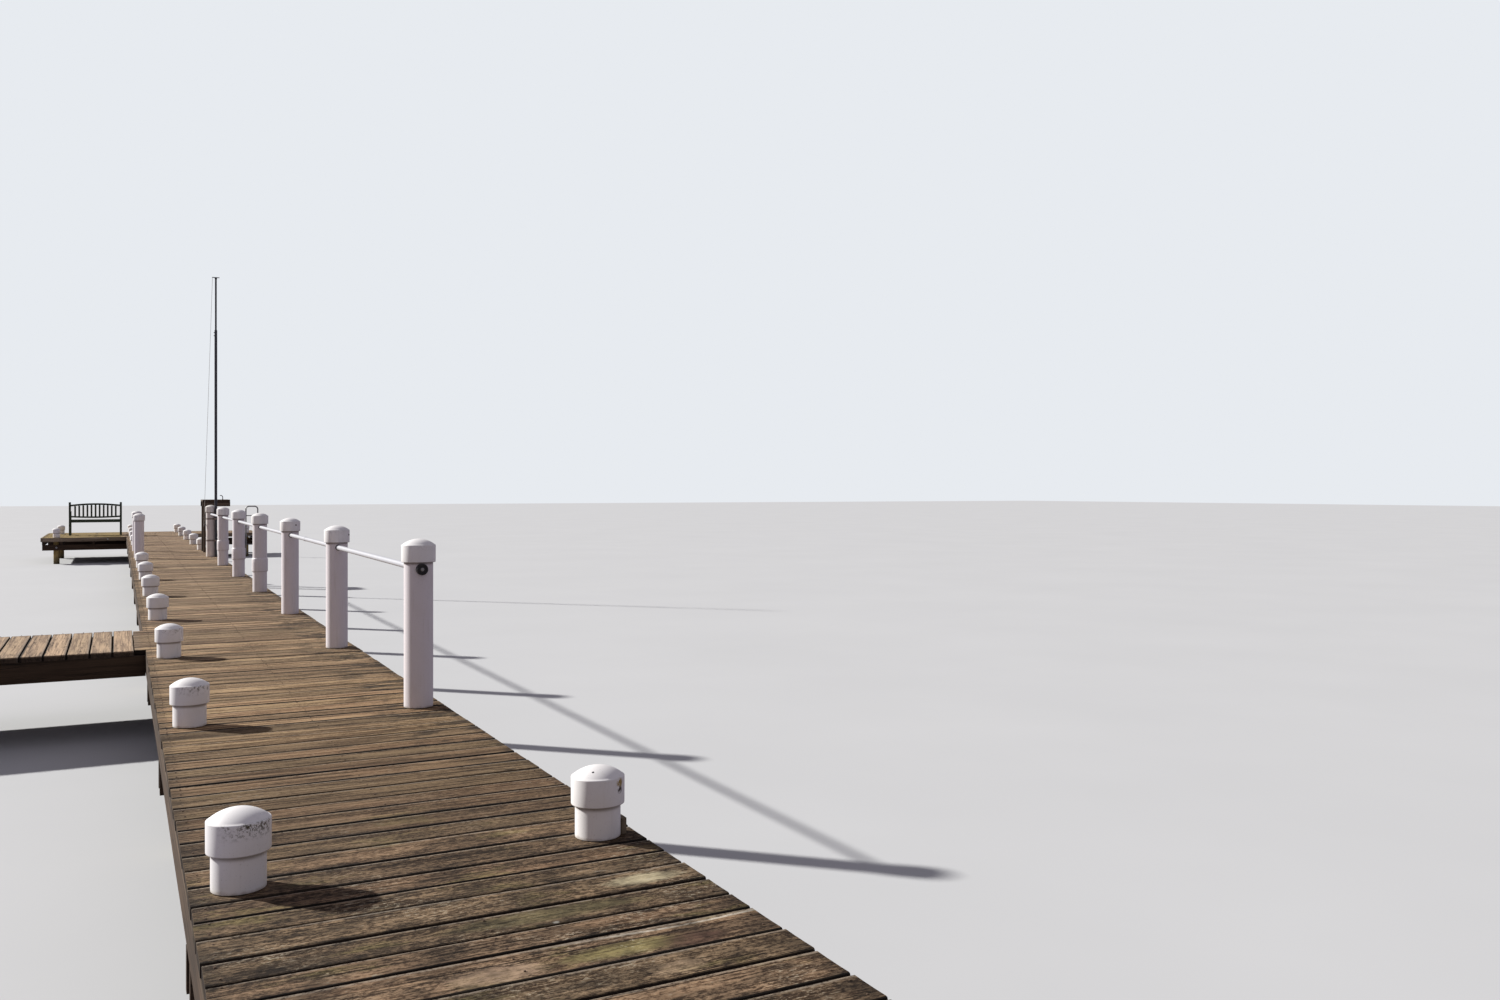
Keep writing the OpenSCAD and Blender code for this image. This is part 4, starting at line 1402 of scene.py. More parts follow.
@dataclass
class Framing(Assembly):
    """The sawn timbers under the boards, and the bolts through the crossheads."""

    cut: Cut = Cut(edge=0.004, wander=0.0012, ragged=0.003, stations=10)
    bolts: list[Patch] = field(default_factory=list)

    def member(self, xs: Span, ys: Span, zs: Span, run: Run, stations: int = 10) -> Patch:
        """One timber, given by where it begins and ends along each axis."""
        low, high = zip(xs, ys, zs)
        return timber(low, high, run, self.rng, replace(self.cut, stations=stations))

    def twin(self, at: float, ends: Span, z: float, piles: Iterable[float],
             run: Run = Run.X) -> list[Patch]:
        """Two timbers housed into both sides of a bent's piles and bolted through them.

        Args:
            at: The bent's place.
            ends: From and to along the timbers.
            z: Their underside.
            piles: The piles' places along them.
            run: The axis that they lie along.

        Returns:
            The timbers.
        """
        inner, across = PLAN.pile_r - PLAN.housing, run is Run.X
        outer, made = inner + PLAN.crosshead_t, []
        for side in (-1, 1):
            edges = tuple(sorted((at + side * inner, at + side * outer)))
            xs, ys = (ends, edges) if across else (edges, ends)
            made.append(self.member(xs, ys, (z, z + PLAN.member_h), run))
            face, mid = at + side * (outer - SINK), z + PLAN.member_h / 2
            for spot in piles:
                place = (spot, face, mid) if across else (face, spot, mid)
                self.bolts += bolt_head(place, side * (TO_Y if across else TO_X))
        return made

    def frame_piece(self, name: str, node: str, patches: Iterable[Patch],
                    finish: Optional[Material] = None) -> None:
        """Hands in one group of timbers, in the darker under-deck finish that paints their shade,
        unless a finish is given.
        """
        self.put(name, finish or self.finishes.under, "frame_timber", patches, node)

    def crossheads(self) -> list[Patch]:
        """All the twin crossheads.

        Returns:
            Their timbers.
        """
        half, head, far_x, xs = PLAN.half, PLAN.head_half, PLAN.head_pile_x, PLAN.pile_x
        near, far = PLAN.last_bents
        made = []
        for y, left, right, piles in (
                (PLAN.shore_bent_y, -half, half, (-xs, xs)),
                *((i * PLAN.bay, -half, half, (-xs, xs)) for i in range(PLAN.bays - 1)),
                (near, -head, half, (-far_x, -xs, xs)), (PLAN.right_bent_y, -half, head, (far_x,)),
                (far, -head, head, (-far_x, -xs, xs, far_x))):
            made += self.twin(y, (left, right), PLAN.crosshead_z, piles)
        return made

    def stringers(self) -> list[Patch]:
        """Three rows of stringers, whose ends meet over every second bent.

        Returns:
            Their timbers.
        """
        w, z, made = PLAN.stringer_w, (PLAN.stringer_z, PLAN.board_z), []
        for n, x in enumerate((-PLAN.half, -w / 2, PLAN.half - w)):
            bents = np.arange(1 + n % 2, PLAN.bays, 2) * PLAN.bay
            ends = (PLAN.shore_y, *bents, PLAN.end_y)
            made += [self.member((x, x + w), span, z, Run.Y, 14) for span in zip(ends, ends[1:])]
        return made

    def head_joists(self) -> list[Patch]:
        """The joists of the head's two wings.

        Returns:
            Their timbers.
        """
        w, z = PLAN.stringer_w, (PLAN.stringer_z, PLAN.board_z)
        left, right = (PLAN.head_y, PLAN.end_y), (PLAN.right_y, PLAN.end_y)
        beside = PLAN.head_pile_x - PLAN.pile_r - w - PLAN.seat
        made = []
        for x in (PLAN.head_half - w, beside, (beside + PLAN.half) / 2):
            made += [self.member((-x - w, -x), left, z, Run.Y),
                     self.member((x, x + w), right, z, Run.Y)]
        x = PLAN.half + PLAN.seat
        return made + [self.member((x, x + w), right, z, Run.Y)]

    def fascia(self) -> list[Patch]:
        """The edge boards round the head.

        Returns:
            The six boards.
        """
        t, zs = PLAN.fascia_t, (PLAN.deck_z - PLAN.fascia_h, PLAN.deck_z - 0.001)
        half, near, right, end = PLAN.head_half, PLAN.head_y, PLAN.right_y, PLAN.end_y
        butt = -PLAN.half - 0.45
        return [self.member(xs, ys, zs, run, 16) for xs, ys, run in (
            ((-half, butt - 0.002), (near - t, near), Run.X),
            ((butt + 0.002, -PLAN.half - PLAN.seat), (near - t, near), Run.X),
            ((PLAN.half + PLAN.seat, half), (right - t, right), Run.X),
            ((-half - t, -half), (near - t, end + t), Run.Y),
            ((half, half + t), (right - t, end + t), Run.Y),
            ((-half, half), (end, end + t), Run.X))]

    def build(self) -> None:
        """Builds every member, then the bolts."""
        near, far, t = PLAN.finger_y, PLAN.finger_far, PLAN.beam_t
        self.frame_piece("crosshead_timbers", "crossheads", self.crossheads())
        self.frame_piece("stringer_timbers", "stringers", self.stringers())
        self.frame_piece("head_joist_timbers", "head_joists", self.head_joists())
        trimmer = self.member((-PLAN.half, PLAN.half), (PLAN.shore_y - PLAN.fascia_t, PLAN.shore_y),
                              (PLAN.stringer_z, PLAN.board_z + 0.02), Run.X)
        self.frame_piece("shore_trimmer_timber", "shore_trimmer", [trimmer], self.finishes.frame)
        self.frame_piece("head_edge_boards", "head_fascia", self.fascia(), self.finishes.frame)
        beams = [self.member((PLAN.finger_end_x, -PLAN.half), (y, y + t),
                             (PLAN.beam_z, PLAN.board_z), Run.X, 16)
                 for y in (near, near + (PLAN.finger_w - t) / 2, far - t)]
        self.frame_piece("finger_beam_timbers", "finger_beams", beams)
        bearers = self.twin(PLAN.finger_pile_x, (near, far), PLAN.beam_z - PLAN.member_h,
                            [y for _, y in PLAN.finger_piles], Run.Y)
        self.frame_piece("finger_bearer_timbers", "finger_bearers", bearers)
        self.put("frame_bolts", self.finishes.zinc, "ladder_metal", self.bolts)


@dataclass
class Posts(Assembly):
    """The sleeves over the piles, their caps and collars, and small things fixed to them."""

    cap_r: float = 0.1
    skirt: float = 0.104
    seat_t: float = 0.006
    rise: float = 0.035
    round_r: float = 0.005
    sides: int = 64
    mildewed: tuple[float, ...] = (1.0, 0.75, 0.5)
    old_cap: int = 7
    collared: tuple[int, ...] = (4, 5, 6)
    collar_z: float = 0.26
    screws: tuple[tuple[int, Span, float], ...] = ((3, (-62, 118), 0.927), (2, (-30, 150), 0.925))

    def sleeve(self, spot: Span, height: float, age: float) -> Patch:
        """A pipe with a wall, its ends rounded by half a millimetre.

        Its second tone is the height of the lip of the cap above it, under which its finish paints
        a shadow line.

        Args:
            spot: Its pile's place.
            height: Its length above the deck.
            age: How yellow it is.

        Returns:
            The closed surface.
        """
        ro, ri, e = PLAN.sleeve_r, PLAN.sleeve_r - PLAN.sleeve_wall, 0.0006
        profile = np.array([[ro - e, 0], [ro, e], [ro, height * 0.25], [ro, height * 0.5],
                            [ro, height * 0.75], [ro, height - e], [ro - e, height],
                            [ri + e, height], [ri, height - e], [ri, e], [ri + e, 0]])
        tones = (age, height + self.seat_t - self.skirt)
        return lathe(profile, (*spot, PLAN.deck_z), self.sides, tones, ring=True)

    @property
    def dome_radius(self) -> float:
        """The dome's radius over half width a: (a * a + rise * rise) / (2 * rise)."""
        return ((self.cap_r - self.round_r) ** 2 + self.rise ** 2) / (2 * self.rise)

    def cap_profile(self) -> Array:
        """Radius and height of a cap's outline.

        Its bore runs up to the sleeve's end, the skirt has a rounded lip and a draft of half a
        millimetre, the shoulder is an arc of radius round_r, and the dome is a circle.

        Returns:
            The profile, from its axis at the bore's end round to the dome's top.
        """
        bore, low, out = PLAN.sleeve_r + 0.0004, self.seat_t - self.skirt, self.cap_r
        a, dome = self.cap_r - self.round_r, self.dome_radius
        t = np.radians(np.linspace(0, 90, 7))
        shoulder = np.stack([a + self.round_r * np.cos(t),
                             self.seat_t - self.round_r + self.round_r * np.sin(t)], -1)
        r = np.linspace(a, AXIS, 16)[1:]
        top = np.stack([r, self.seat_t + self.rise - dome + np.sqrt(dome ** 2 - r ** 2)], -1)
        lip = np.array([[AXIS, 0.0002], [bore, 0.0002], [bore, low + 0.0015],
                        [bore + 0.0012, low], [out - 0.0022, low], [out - 0.0008, low + 0.0008],
                        [out - 0.0004, low + 0.003], [out - 0.0002, low + 0.05]])
        return np.concatenate([lip, shoulder, top])

    def cap(self, spot: Span, height: float, age: float, mildew: float) -> Patch:
        """One cap, its seat at a height above the deck."""
        place = (*spot, PLAN.deck_z + height)
        return lathe(self.cap_profile(), place, self.sides, (age, mildew))

    def tones(self, i: int, side: int) -> Span:
        """Age and mildew of the cap at bent i of one side.

        Args:
            i: The bent.
            side: -1 for the left row and 1 for the right.

        Returns:
            The two tones.
        """
        age = 0.05 + 0.12 * self.rng.random()
        if side > 0 and i == self.old_cap:
            return 0.4, 0.1
        if side < 0 and i < len(self.mildewed):
            return age, self.mildewed[i]
        return age, 0.12 * self.rng.random()

    def build(self) -> None:
        """Builds sleeves, caps, collars and the small fittings."""
        plastic = self.finishes.sleeve
        caps: dict[bool, list[Patch]] = {False: [], True: []}
        for word, side in SIDES:
            sleeves: dict[bool, list[Patch]] = {False: [], True: []}
            for i in range(PLAN.bays + 1):
                spot, height = (side * PLAN.pile_x, i * PLAN.bay), PLAN.sleeve_h(i, side)
                tones, tall = self.tones(i, side), PLAN.is_tall(i, side)
                sleeves[tall].append(self.sleeve(spot, height, tones[0]))
                caps[tall].append(self.cap(spot, height, *tones))
            self.put(f"bollards_{word}", plastic, "sleeve", sleeves[False],
                     f"bollard_sleeves_{word}")
            self.put(f"posts_{word}", self.finishes.post, "sleeve", sleeves[True],
                     f"post_sleeves_{word}")
        for word, spots in (("head", PLAN.head_piles), ("finger", PLAN.finger_piles)):
            caps[False] += [self.cap(spot, PLAN.bollard_h, 0.1, 0.2) for spot in spots]
            self.put(f"bollards_{word}", plastic, "sleeve",
                     (self.sleeve(spot, PLAN.bollard_h, 0.1) for spot in spots),
                     f"bollard_sleeves_{word}")
        self.put("caps_bollards", self.finishes.cap, "cap", caps[False], "bollard_caps")
        self.put("caps_posts", self.finishes.cap, "cap", caps[True], "post_caps")
        self.collars()
        self.fittings()

    def collars(self) -> None:
        """Makes the bell ends of the three tall posts that are made of two lengths of pipe."""
        ri, ro, h = PLAN.sleeve_r + PLAN.seat, 0.095, 0.17
        profile = np.array([[ri, 0], [ro - 0.001, 0], [ro, 0.001], [ro, h * 0.3], [ro, h * 0.6],
                            [ro, h - 0.012], [ro - 0.0015, h - 0.008], [ri + 0.002, h - 0.0005],
                            [ri, h]])
        z = PLAN.deck_z + self.collar_z
        self.put("collars", self.finishes.post, "sleeve",
                 (lathe(profile, (PLAN.pile_x, i * PLAN.bay, z), self.sides, (0.1, 0.0), ring=True)
                  for i in self.collared), "socket_collars")

    def fittings(self) -> None:
        """Makes cap screws, the drilled vent in the first cap and the block beside its sleeve."""
        screw = mm(0.4, -2, 7.5, -2, 7.5, 1.5, 5.5, 4, 0.4, 4.5)
        small = []
        for i, angles, z in self.screws:
            for turn in np.radians(angles):
                out = np.array([math.cos(turn), math.sin(turn), 0.0])
                centre = np.array([PLAN.pile_x, i * PLAN.bay, PLAN.deck_z + z])
                small.append(lathe(screw, centre + out * self.cap_r, 12, lay=facing(out)))
        curve, out = self.dome_radius, np.array([-0.037, -0.048, 0.0])
        out[2] = math.sqrt(curve ** 2 - out @ out)
        dome_top = PLAN.deck_z + PLAN.bollard_h + self.seat_t + self.rise
        middle = np.array([PLAN.pile_x, 0, dome_top - curve])
        small.append(lathe(mm(0.4, -4, 4.5, -4, 4.5, 0.3, 0.4, 0.3), middle + out, 12,
                           lay=facing(out)))
        self.put("cap_screws", self.finishes.black, "black_fitting", small)
        block = timber((PLAN.pile_x + 0.079, -0.034, PLAN.deck_z),
                       (PLAN.pile_x + 0.104, 0.03, PLAN.deck_z + 0.058), Run.Z, self.rng)
        self.put("bollard_block", self.finishes.frame, "frame_timber", [block])


@dataclass
class Handrail(Assembly):
    """The pipe through the tall posts, its dark glands and the fittings that close its ends."""

    radius: float = 0.019
    end_r: float = 0.034
    end_l: float = 0.026
    coupled: tuple[int, ...] = (2, 5)

    def at_ends(self, profile: Array, sides: int) -> list[Patch]:
        """A turned form at both ends of the rail, each facing away from it.

        Args:
            profile: Rows of radius and height.
            sides: Number of turns.

        Returns:
            The two surfaces.
        """
        z = PLAN.deck_z + PLAN.rail_z
        return [lathe(profile, (PLAN.pile_x, PLAN.tall_right[n] * PLAN.bay, z), sides, lay=lay)
                for n, lay in ((0, -TO_Y), (-1, TO_Y))]

    def build(self) -> None:
        """Builds the rail with its couplings, the glands, and a disc and hub at each end."""
        x, z, r = PLAN.pile_x, PLAN.deck_z + PLAN.rail_z, self.radius
        reach, out = PLAN.sleeve_r + self.end_l - 0.009, PLAN.sleeve_r + self.end_l
        first, last = (PLAN.tall_right[n] * PLAN.bay for n in (0, -1))
        path = stacked(x, np.linspace(first - reach, last + reach, 61), z)
        coupling = np.array([[r, -0.05], [r + 0.002, -0.049], [r + 0.002, 0.049], [r, 0.05]])
        pipes = [tube(path, r, (1, 0, 0), 28)]
        pipes += [lathe(coupling, (x, (i + 0.5) * PLAN.bay + 0.35, z), 28, lay=TO_Y)
                  for i in self.coupled]
        self.put("handrail_pipe", self.finishes.rail, "rail_pipe", pipes, "handrail")
        i, g = r + 0.0005, PLAN.sleeve_r + 0.0006
        gland = np.array([[i, -g], [i + 0.0048, -g], [i + 0.0055, -g + 0.0006],
                          [i + 0.0055, g - 0.0006], [i + 0.0048, g], [i, g]])
        self.put("rail_glands", self.finishes.black, "black_fitting",
                 (lathe(gland, (x, n * PLAN.bay, z), 28, ring=True, lay=TO_Y)
                  for n in PLAN.tall_right))
        e = self.end_r
        disc = np.array([[0.0005, 0.05], [e, 0.05], [e, out - 0.006], [e - 0.0015, out - 0.002],
                         [e - 0.004, out - 0.0005], [e - 0.009, out - 0.0005],
                         [e - 0.011, out - 0.004], [e - 0.013, out - 0.006],
                         [0.012, out - 0.005], [0.006, out - 0.0035], [0.0005, out - 0.003]])
        self.put("rail_end_caps", self.finishes.black, "black_fitting", self.at_ends(disc, 48),
                 "rail_end_fittings")
        hub = mm(0.4, -6, 9.5, -6, 10.5, -3.5, 8, -1.5, 0.4, -1) + [0, out]
        self.put("rail_end_hubs", self.finishes.zinc, "ladder_metal", self.at_ends(hub, 24))


@dataclass
class Flagpole(Assembly):
    """The pole strapped to a post, its topmast, truck and halyard."""

    radius: float = 0.025
    top: float = 4.39
    mast_r: float = 0.017
    mast_top: float = 5.4
    lap: float = 0.12
    post_y: float = 21.0
    out: float = 0.1256
    turn: float = math.radians(-50)
    cleat_out: float = 0.125
    cleat_z: float = 0.5975
    rope_r: float = 0.003

    @property
    def base(self) -> Triple:
        """The pole's foot."""
        return (PLAN.pile_x + self.out * math.cos(self.turn),
                self.post_y + self.out * math.sin(self.turn), PLAN.deck_z)

    def rod(self, r: float, low: float, high: float, count: int) -> Array:
        """The profile of a plain rod's wall."""
        return np.stack([np.full(count, r), np.linspace(low, high, count)], -1)

    def build(self) -> None:
        """Builds the poles and the truck, and gives the kept solids their paint."""
        (x, y, z), paint = self.base, self.finishes.pole
        r, bore, top = self.radius, self.mast_r + 0.0006, self.top
        profile = np.concatenate([
            [[AXIS, 0], [r - 0.002, 0]], self.rod(r, 0.002, top - 0.004, 30),
            [[r - 0.004, top], [bore, top], [bore, top - 0.05], [AXIS, top - 0.05]]])
        parts = [lathe(profile, self.base, 32)]
        for down in (0.05, 0.11):
            parts += bolt_head((x - r + SINK, y, z + top - down), -TO_X, 0.012)
        self.put("pole_lower", paint, "pole_metal", parts, "flagpole")
        low, high = top - self.lap, self.mast_top
        mast = np.concatenate([[[AXIS, low]], self.rod(self.mast_r, low, high, 12),
                               [[AXIS, high]]])
        self.put("pole_upper", paint, "pole_metal", [lathe(mast, self.base, 28)], "topmast")
        self.put("pole_truck", paint, "pole_metal", self.truck(), "flagpole_truck")
        self.dress("flagpole_straps", self.finishes.post)
        self.dress("halyard_cleat", paint)
        self.halyard()

    def truck(self) -> list[Patch]:
        """A short crossbar with rounded ends on a turned socket.

        Returns:
            The socket and the bar.
        """
        (x, y, z), r = self.base, self.mast_r
        top = z + self.mast_top
        socket = np.array([[AXIS, -0.001], [r + 0.0003, -0.001], [r + 0.0003, -0.021],
                           [r + 0.003, -0.022], [r + 0.004, -0.02], [r + 0.004, 0.0],
                           [AXIS, 0.001]])
        bar = mm(0.6, -66, 8, -66, 10.5, -64, 11.5, -60, 11.5, 60, 10.5, 64, 8, 66, 0.6, 66)
        return [lathe(socket, (x, y, top), 28),
                lathe(bar, (x, y, top + 0.008), 20, lay=TO_X * [[1], [1], [0.66]])]

    def halyard(self) -> None:
        """Runs the line from the truck's arm down to the cleat, held taut.

        Its centre line is straight: top + (bottom - top) * s for s from 0 to 1.
        """
        x, y, z = self.base
        top = np.array([x - 0.066 + 0.006, y, z + self.mast_top - 0.0003])
        low = np.array([PLAN.pile_x - self.cleat_out, self.post_y - 0.0103, z + self.cleat_z])
        path = top + (low - top) * np.linspace(0, 1, 40)[:, None]
        rope = self.put("halyard_rope", self.finishes.rope, "rope",
                        [tube(path, self.rope_r, (0, 1, 0), 10)], "halyard")


@dataclass
class CleaningTable(Assembly):
    """The table at the deck's right edge, with a planked top and a bent tap."""

    x: float = 0.575
    y: float = 22.83
    width: float = 0.53
    length: float = 0.64
    height: float = 1.09
    top_t: float = 0.04
    leg: float = 0.05
    leg_in: float = 0.015
    bearer_h: float = 0.1
    planks: int = 4
    plank_gap: float = 0.0015
    bolt_zs: Span = (0.035, 0.11)
    cut: Cut = Cut(edge=0.003, wander=0.0008, stations=8)

    def build(self) -> None:
        """Builds legs, bearers, top, bolts and tap."""
        wood, far = self.finishes.table, self.y + self.length
        low = PLAN.deck_z + self.height - self.top_t
        under = low - self.bearer_h
        inner, outer = self.x + self.leg_in, PLAN.half + PLAN.seat
        legs, bearers, bolts = [], [], []
        for y in (self.y + self.leg_in, far - self.leg_in - self.leg):
            legs += [timber((x, y, foot), (x + self.leg, y + self.leg, under), Run.Z, self.rng,
                            self.cut)
                     for x, foot in ((inner, PLAN.deck_z), (outer, PLAN.stringer_z))]
            bearers.append(timber((self.x, y, under), (self.x + self.width, y + self.leg, low),
                                  Run.X, self.rng, self.cut))
            for z in self.bolt_zs:
                bolts += bolt_head((outer + self.leg - SINK, y + self.leg / 2,
                                    PLAN.stringer_z + z), TO_X, 0.018)
        edges, gap = np.linspace(self.x, self.x + self.width, self.planks + 1), self.plank_gap
        top = [timber((x0 + gap, self.y, low), (x1 - gap, far, low + self.top_t), Run.Y,
                      self.rng, self.cut) for x0, x1 in zip(edges, edges[1:])]
        self.put("table_leg_posts", wood, "table_timber", legs, "table_legs")
        self.put("table_rails", wood, "table_timber", bearers, "table_bearers")
        self.put("table_planks", wood, "table_timber", top, "table_top")
        self.put("table_bolts", self.finishes.zinc, "ladder_metal", bolts)
        self.put("table_tap_neck", self.finishes.steel, "tap_metal", self.tap(), "table_tap")

    def tap(self) -> list[Patch]:
        """A swan neck: a straight rise, then a third of a circle.

        Returns:
            The neck and its foot.
        """
        x, y, z = self.x + 0.425, self.y + self.length - 0.06, PLAN.deck_z + self.height
        bend, rise = 0.036, 0.05
        up, right = np.array([0, 0, bend]), np.array([bend, 0, 0])
        neck = arc(np.array([x - bend, y, z + rise]), right, up, 0, 120, 15)
        path = np.concatenate([[[x, y, z], [x, y, z + rise * 0.6]], neck])
        foot = mm(0.6, 0, 15, 0, 15, 6, 13, 8, 0.6, 8)
        return [tube(path, 0.008, (0, 1, 0), 18), lathe(foot, (x, y, z), 28)]


@dataclass
class Ladder(Assembly):
    """The tube ladder with its hooped top on the head's right wing."""

    x: float = 2.59
    y: float = 34.408
    half: float = 0.165
    radius: float = 0.019
    bend: float = 0.09
    foot: float = 0.06
    top: float = 0.82
    rung_r: float = 0.014
    rungs: tuple[float, ...] = (0.12, 0.37, 0.62, 1.235)

    def frame(self) -> Array:
        """The tube's centre line: up one stile, over the hoop and down the other.

        Returns:
            Its points.
        """
        bow = PLAN.deck_z + self.top - self.radius - self.bend
        left, right = self.x - self.half, self.x + self.half
        up, side = np.array([0, 0, self.bend]), np.array([self.bend, 0, 0])
        rise = np.linspace(self.foot, bow - 0.01, 16)
        return np.concatenate([
            stacked(left, self.y, rise),
            arc(np.array([left + self.bend, self.y, bow]), side, up, 180, 90, 13),
            arc(np.array([right - self.bend, self.y, bow]), side, up, 90, 0, 13),
            stacked(right, self.y, rise[::-1])])

    def build(self) -> None:
        """Builds stiles and rungs with their welds, and gives the brackets their finish."""
        zinc, r = self.finishes.zinc, self.rung_r
        self.put("ladder_tube", zinc, "ladder_metal",
                 [tube(self.frame(), self.radius, (0, 1, 0), 24)], "ladder_frame")
        inner, side = self.half - self.radius * 0.8, self.half - self.radius - 0.001
        bar = np.array([[AXIS, -inner], [r, -inner], [r, 0], [r, inner], [AXIS, inner]])
        weld = mm(0, -4, 3, 0, 0, 4) + [r, 0]
        rungs = []
        for z in self.rungs:
            rungs.append(lathe(bar, (self.x, self.y, z), 20, lay=TO_X))
            rungs += [lathe(weld, (self.x + sign * side, self.y, z), 20, ring=True, lay=TO_X)
                      for sign in (-1, 1)]
        self.put("ladder_treads", zinc, "ladder_metal", rungs, "ladder_rungs")
        self.dress("ladder_brackets", zinc)


@dataclass
class Bench(Assembly):
    """The garden bench on the head's left wing, its back towards the shore."""

    x: float = -1.54
    y: float = 34.45
    width: float = 1.33
    depth: float = 0.46
    seat_h: float = 0.445
    back_h: float = 0.945
    thick: float = 0.055
    leg: float = 0.06
    rake: float = 0.07
    arch: float = 0.04
    sag: float = 0.02
    slats: int = 11
    pale_half: Span = (0.0225, 0.007)
    seat_slats: int = 5
    seat_gap: float = 0.012
    seat_t: float = 0.02
    rail_t: float = 0.036
    rail_under: float = 0.08
    low_rail_h: float = 0.046
    edge: float = 0.004
    cut: Cut = Cut(edge=0.004, wander=0.0004, stations=6)

    @property
    def inner(self) -> float:
        """Clear width between the two ends."""
        return self.width - 2 * self.thick - 0.0006

    def back_y(self, z: Union[float, Array]) -> Union[float, Array]:
        """Middle of the raked back at a height: half a leg less the rake's share above the seat."""
        slope = self.rake / (self.back_h - self.seat_h)
        return self.leg / 2 - slope * np.maximum(0, z - self.seat_h)

    def bow(self, rise: float, x: Union[float, Array]) -> Union[float, Array]:
        """Rise of a rail at x: a circle through both ends and rise above them in the middle."""
        r = (self.inner ** 2 / 4 + rise ** 2) / (2 * rise)
        return rise - r + np.sqrt(r * r - x * x)

    def bowed(self, rise: float, low: float, high: float) -> Patch:
        """A bowed back rail: its section's four bevelled corners follow the bow along x.

        Args:
            rise: How far its middle stands above its ends, negative for a sag.
            low: Its underside at the ends, above the deck.
            high: Its top at the ends.

        Returns:
            The closed surface.
        """
        x = np.linspace(-self.inner / 2, self.inner / 2, 33)[:, None]
        lift = self.bow(abs(rise), x) * (1 if rise > 0 else -1)
        middle = (low + high) / 2
        ring = chamfered(self.rail_t / 2, (high - low) / 2, self.edge)
        rows = stacked(self.x + x, self.y + self.back_y(middle) + ring[:, 0],
                       PLAN.deck_z + middle + ring[:, 1] + lift)
        return grid_patch(rows, rows - [self.x, self.y, 0], (0, 0, 0.2), smooth=False)

    def leaning(self, x: float, z: Array, half: Span, edge: float, drawn: float = 0.0) -> Patch:
        """An upright that follows the back's rake, its section drawn in at the top.

        Args:
            x: Its middle.
            z: Heights of its sections above the deck.
            half: Half its width and half its depth.
            edge: The bevel of its corners.
            drawn: How far each side of the top section is drawn in.

        Returns:
            The closed surface.
        """
        (w, d), ring = half, chamfered(*half, edge)
        pull = np.zeros((len(z), 1))
        pull[-1] = drawn
        rows = stacked(x + ring[:, 0] * (1 - pull / w),
                       self.y + self.back_y(z)[:, None] + ring[:, 1] * (1 - pull / d),
                       PLAN.deck_z + z[:, None])
        lie = rows[..., [2, 0, 1]] + self.rng.uniform(-9, 9, 3)
        return grid_patch(rows, lie, (0, 0, 0.2), smooth=False)

    def end(self, side: int) -> list[Patch]:
        """One end: rear post, front leg, arm, seat rail and stretcher.

        Args:
            side: -1 for the left end and 1 for the right.

        Returns:
            Its five pieces.
        """
        z, seat, y = PLAN.deck_z, PLAN.deck_z + self.seat_h, self.y
        middle = self.x + side * (self.width - self.thick) / 2
        x0, x1 = middle - self.thick / 2, middle + self.thick / 2
        front, back, stop = y + self.depth - self.leg, y + 0.03, y + self.depth - self.leg + 0.01
        heights = np.array([0.0, self.seat_h * 0.5, self.seat_h - 0.02, self.seat_h + 0.02,
                            self.back_h * 0.75, self.back_h - 0.006, self.back_h])
        post = self.leaning(middle, heights, (self.thick / 2, self.leg / 2), self.edge, 0.004)
        return [post, *(timber(low, high, run, self.rng, self.cut) for low, high, run in (
            ((x0, front, z), (x1, front + self.leg, seat + 0.2), Run.Z),
            ((x0, y - 0.014, seat + 0.2), (x1, y + self.depth + 0.02, seat + 0.236), Run.Y),
            ((x0 + 0.006, back, seat - self.rail_under), (x1 - 0.006, stop, seat - self.seat_t),
             Run.Y),
            ((x0 + 0.008, back, z + 0.11), (x1 - 0.008, stop, z + 0.155), Run.Y)))]

    def pale(self, x: float, low: float, high: float) -> Patch:
        """One flat slat, leaning with the back between the two bowed rails.

        Args:
            x: Its middle, from the bench's.
            low: Top of the lower rail at its ends.
            high: Underside of the upper rail at its ends.

        Returns:
            The closed surface.
        """
        reach = abs(x) + self.pale_half[0]
        z = np.linspace(low - self.bow(self.sag, reach), high + self.bow(self.arch, reach), 5)
        return self.leaning(self.x + x, z, self.pale_half, 0.002)

    def build(self) -> None:
        """Builds the ends, rails and slats."""
        paint, seat = self.finishes.bench, PLAN.deck_z + self.seat_h
        x0, x1 = self.x - self.inner / 2, self.x + self.inner / 2
        top, low = self.back_h - 0.12, self.seat_h + 0.068
        self.put("bench_end_frames", paint, "bench_timber",
                 (part for _, side in SIDES for part in self.end(side)), "bench_ends")
        rails = [self.bowed(self.arch, top, top + 0.05),
                 self.bowed(-self.sag, low, low + self.low_rail_h)]
        for y in (self.y + self.leg, self.y + self.depth - self.leg - self.rail_t):
            rails.append(timber((x0, y, seat - self.rail_under),
                                (x1, y + self.rail_t, seat - self.seat_t), Run.X, self.rng,
                                self.cut))
        self.put("bench_cross_rails", paint, "bench_timber", rails, "bench_rails")
        step = self.inner / (self.slats + 1)
        self.put("bench_back_pales", paint, "bench_timber",
                 (self.pale(-self.inner / 2 + k * step, low + self.low_rail_h, top)
                  for k in range(1, self.slats + 1)), "bench_back_slats")
        gap, count = self.seat_gap, self.seat_slats
        wide = (self.depth - self.leg - (count - 1) * gap) / count
        ys = [self.y + self.leg + k * (wide + gap) for k in range(count)]
        self.put("bench_seat_boards", paint, "bench_timber",
                 (timber((x0, y, seat - self.seat_t), (x1, y + wide, seat), Run.X, self.rng,
                         self.cut) for y in ys), "bench_seat_slats")


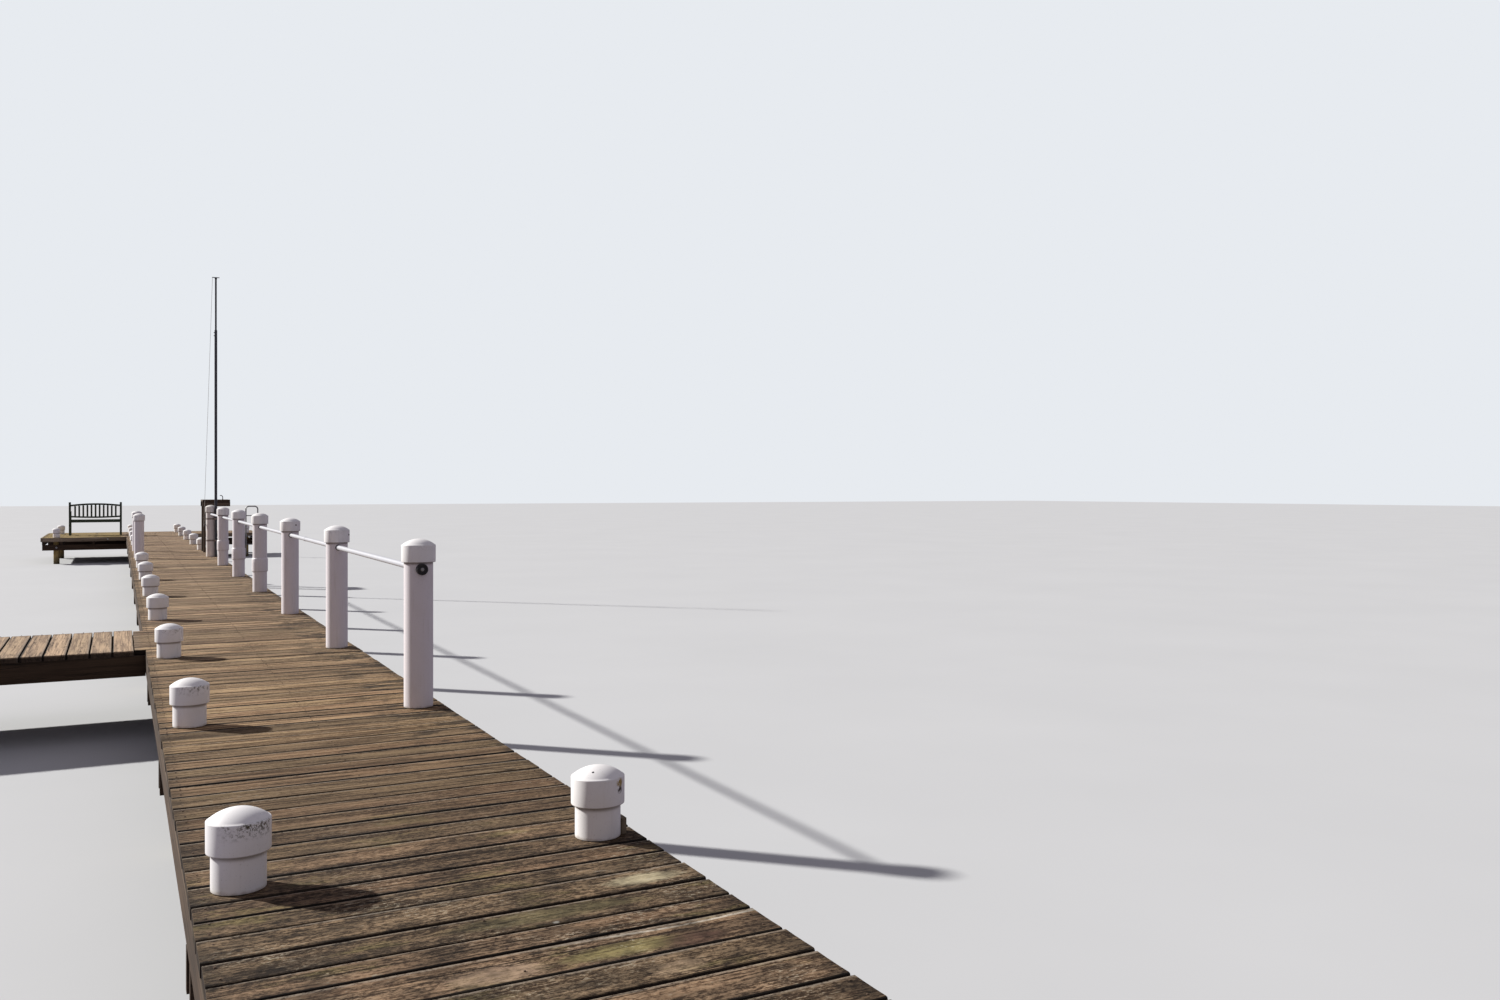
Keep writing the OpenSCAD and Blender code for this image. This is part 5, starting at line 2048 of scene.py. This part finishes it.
@dataclass
class Studio:
    """The floor, the light and the camera at the photograph's viewpoint."""

    eye: Triple = (-0.965, -4.177, 1.292)
    yaw: float = math.radians(-28.114)
    lens: float = 28.373
    shift: float = -10 / 1500
    floor_half: float = 150.0
    floor_shown: tuple[Colour, Colour] = ((0.57, 0.585, 0.60), (0.62, 0.635, 0.65))
    floor_cast: Colour = (0.22, 0.20, 0.235)
    sun_towards: Triple = (0.62, -0.62, -0.48)
    sun_power: float = 5.8
    sun_size: float = math.radians(1.6)
    sun_colour: Colour = (1.0, 0.97, 0.92)
    sky_cast: tuple[Colour, float] = ((0.92, 0.87, 1.0), 0.27)
    sky_shown: tuple[Colour, float] = ((0.80, 0.83, 0.87), 1.0)

    def floor_finish(self) -> Material:
        """Plain and pale to the camera, and darker in what it throws back on the jetty.

        Returns:
            The floor's material.
        """
        r = Recipe("floor_finish")
        shown = r.mix(r.noise(r.place(), 0.4, 3), *self.floor_shown)
        seen = r.node("ShaderNodeLightPath").outputs["Is Camera Ray"]
        return r.finish(r.mix(seen, self.floor_cast, shown), 0.9, Specular_IOR_Level=0.1)

    def floor(self) -> None:
        """A plain pale floor at the water line."""
        h = self.floor_half
        mesh = bpy.data.meshes.new("floor")
        mesh.from_pydata([(-h, -h, 0), (h, -h, 0), (h, h, 0), (-h, h, 0)], [], [(0, 1, 2, 3)])
        mesh.materials.append(self.floor_finish())
        in_scene(bpy.data.objects.new("floor", mesh))

    def light(self) -> None:
        """A soft key light from the far left, as the photograph's, and an even pale world."""
        lamp = bpy.data.lights.new("key", "SUN")
        lamp.energy, lamp.angle, lamp.color = self.sun_power, self.sun_size, self.sun_colour
        x, y, z = self.sun_towards
        key = in_scene(bpy.data.objects.new("key", lamp))
        key.rotation_euler = (math.acos(-z / math.hypot(x, y, z)), 0,
                              math.atan2(y, x) - math.pi / 2)
        world = bpy.data.worlds.new("studio")
        graph = Graph(world)
        seen = graph.node("ShaderNodeLightPath").outputs["Is Camera Ray"]
        cast, shown = (graph.node("ShaderNodeBackground", {}, dict(enumerate(sky))).outputs[0]
                       for sky in (self.sky_cast, self.sky_shown))
        mix = graph.node("ShaderNodeMixShader", {}, {0: seen, 1: cast, 2: shown})
        graph.node("ShaderNodeOutputWorld", {}, {0: mix.outputs[0]})
        bpy.context.scene.world = world

    def camera(self) -> None:
        """The camera, level, turned to the right of the walkway."""
        data = bpy.data.cameras.new("camera")
        data.sensor_width, data.lens, data.shift_y = 36.0, self.lens, self.shift
        data.clip_end = 500
        made = in_scene(bpy.data.objects.new("camera", data))
        made.location = (self.eye[0] - PLAN.origin[0], self.eye[1] - PLAN.origin[1],
                         self.eye[2] + PLAN.deck_z)
        made.rotation_euler = (math.pi / 2, 0, self.yaw)
        bpy.context.scene.camera = made
        bpy.context.scene.view_settings.view_transform = "Standard"

    def build(self) -> None:
        """Sets the whole studio."""
        self.floor()
        self.light()
        self.camera()


def main() -> None:
    logging.basicConfig(level=logging.INFO, format="%(name)s %(message)s")
    rng = np.random.default_rng(SEED)
    Studio().build()
    finishes = Finishes()
    for kind in (Deck, Piles, Framing, Posts, Handrail, Flagpole, CleaningTable, Ladder, Bench):
        kind(finishes, rng).build()
        log.info("%s done", kind.__name__)


if __name__ == "__main__":
    main()
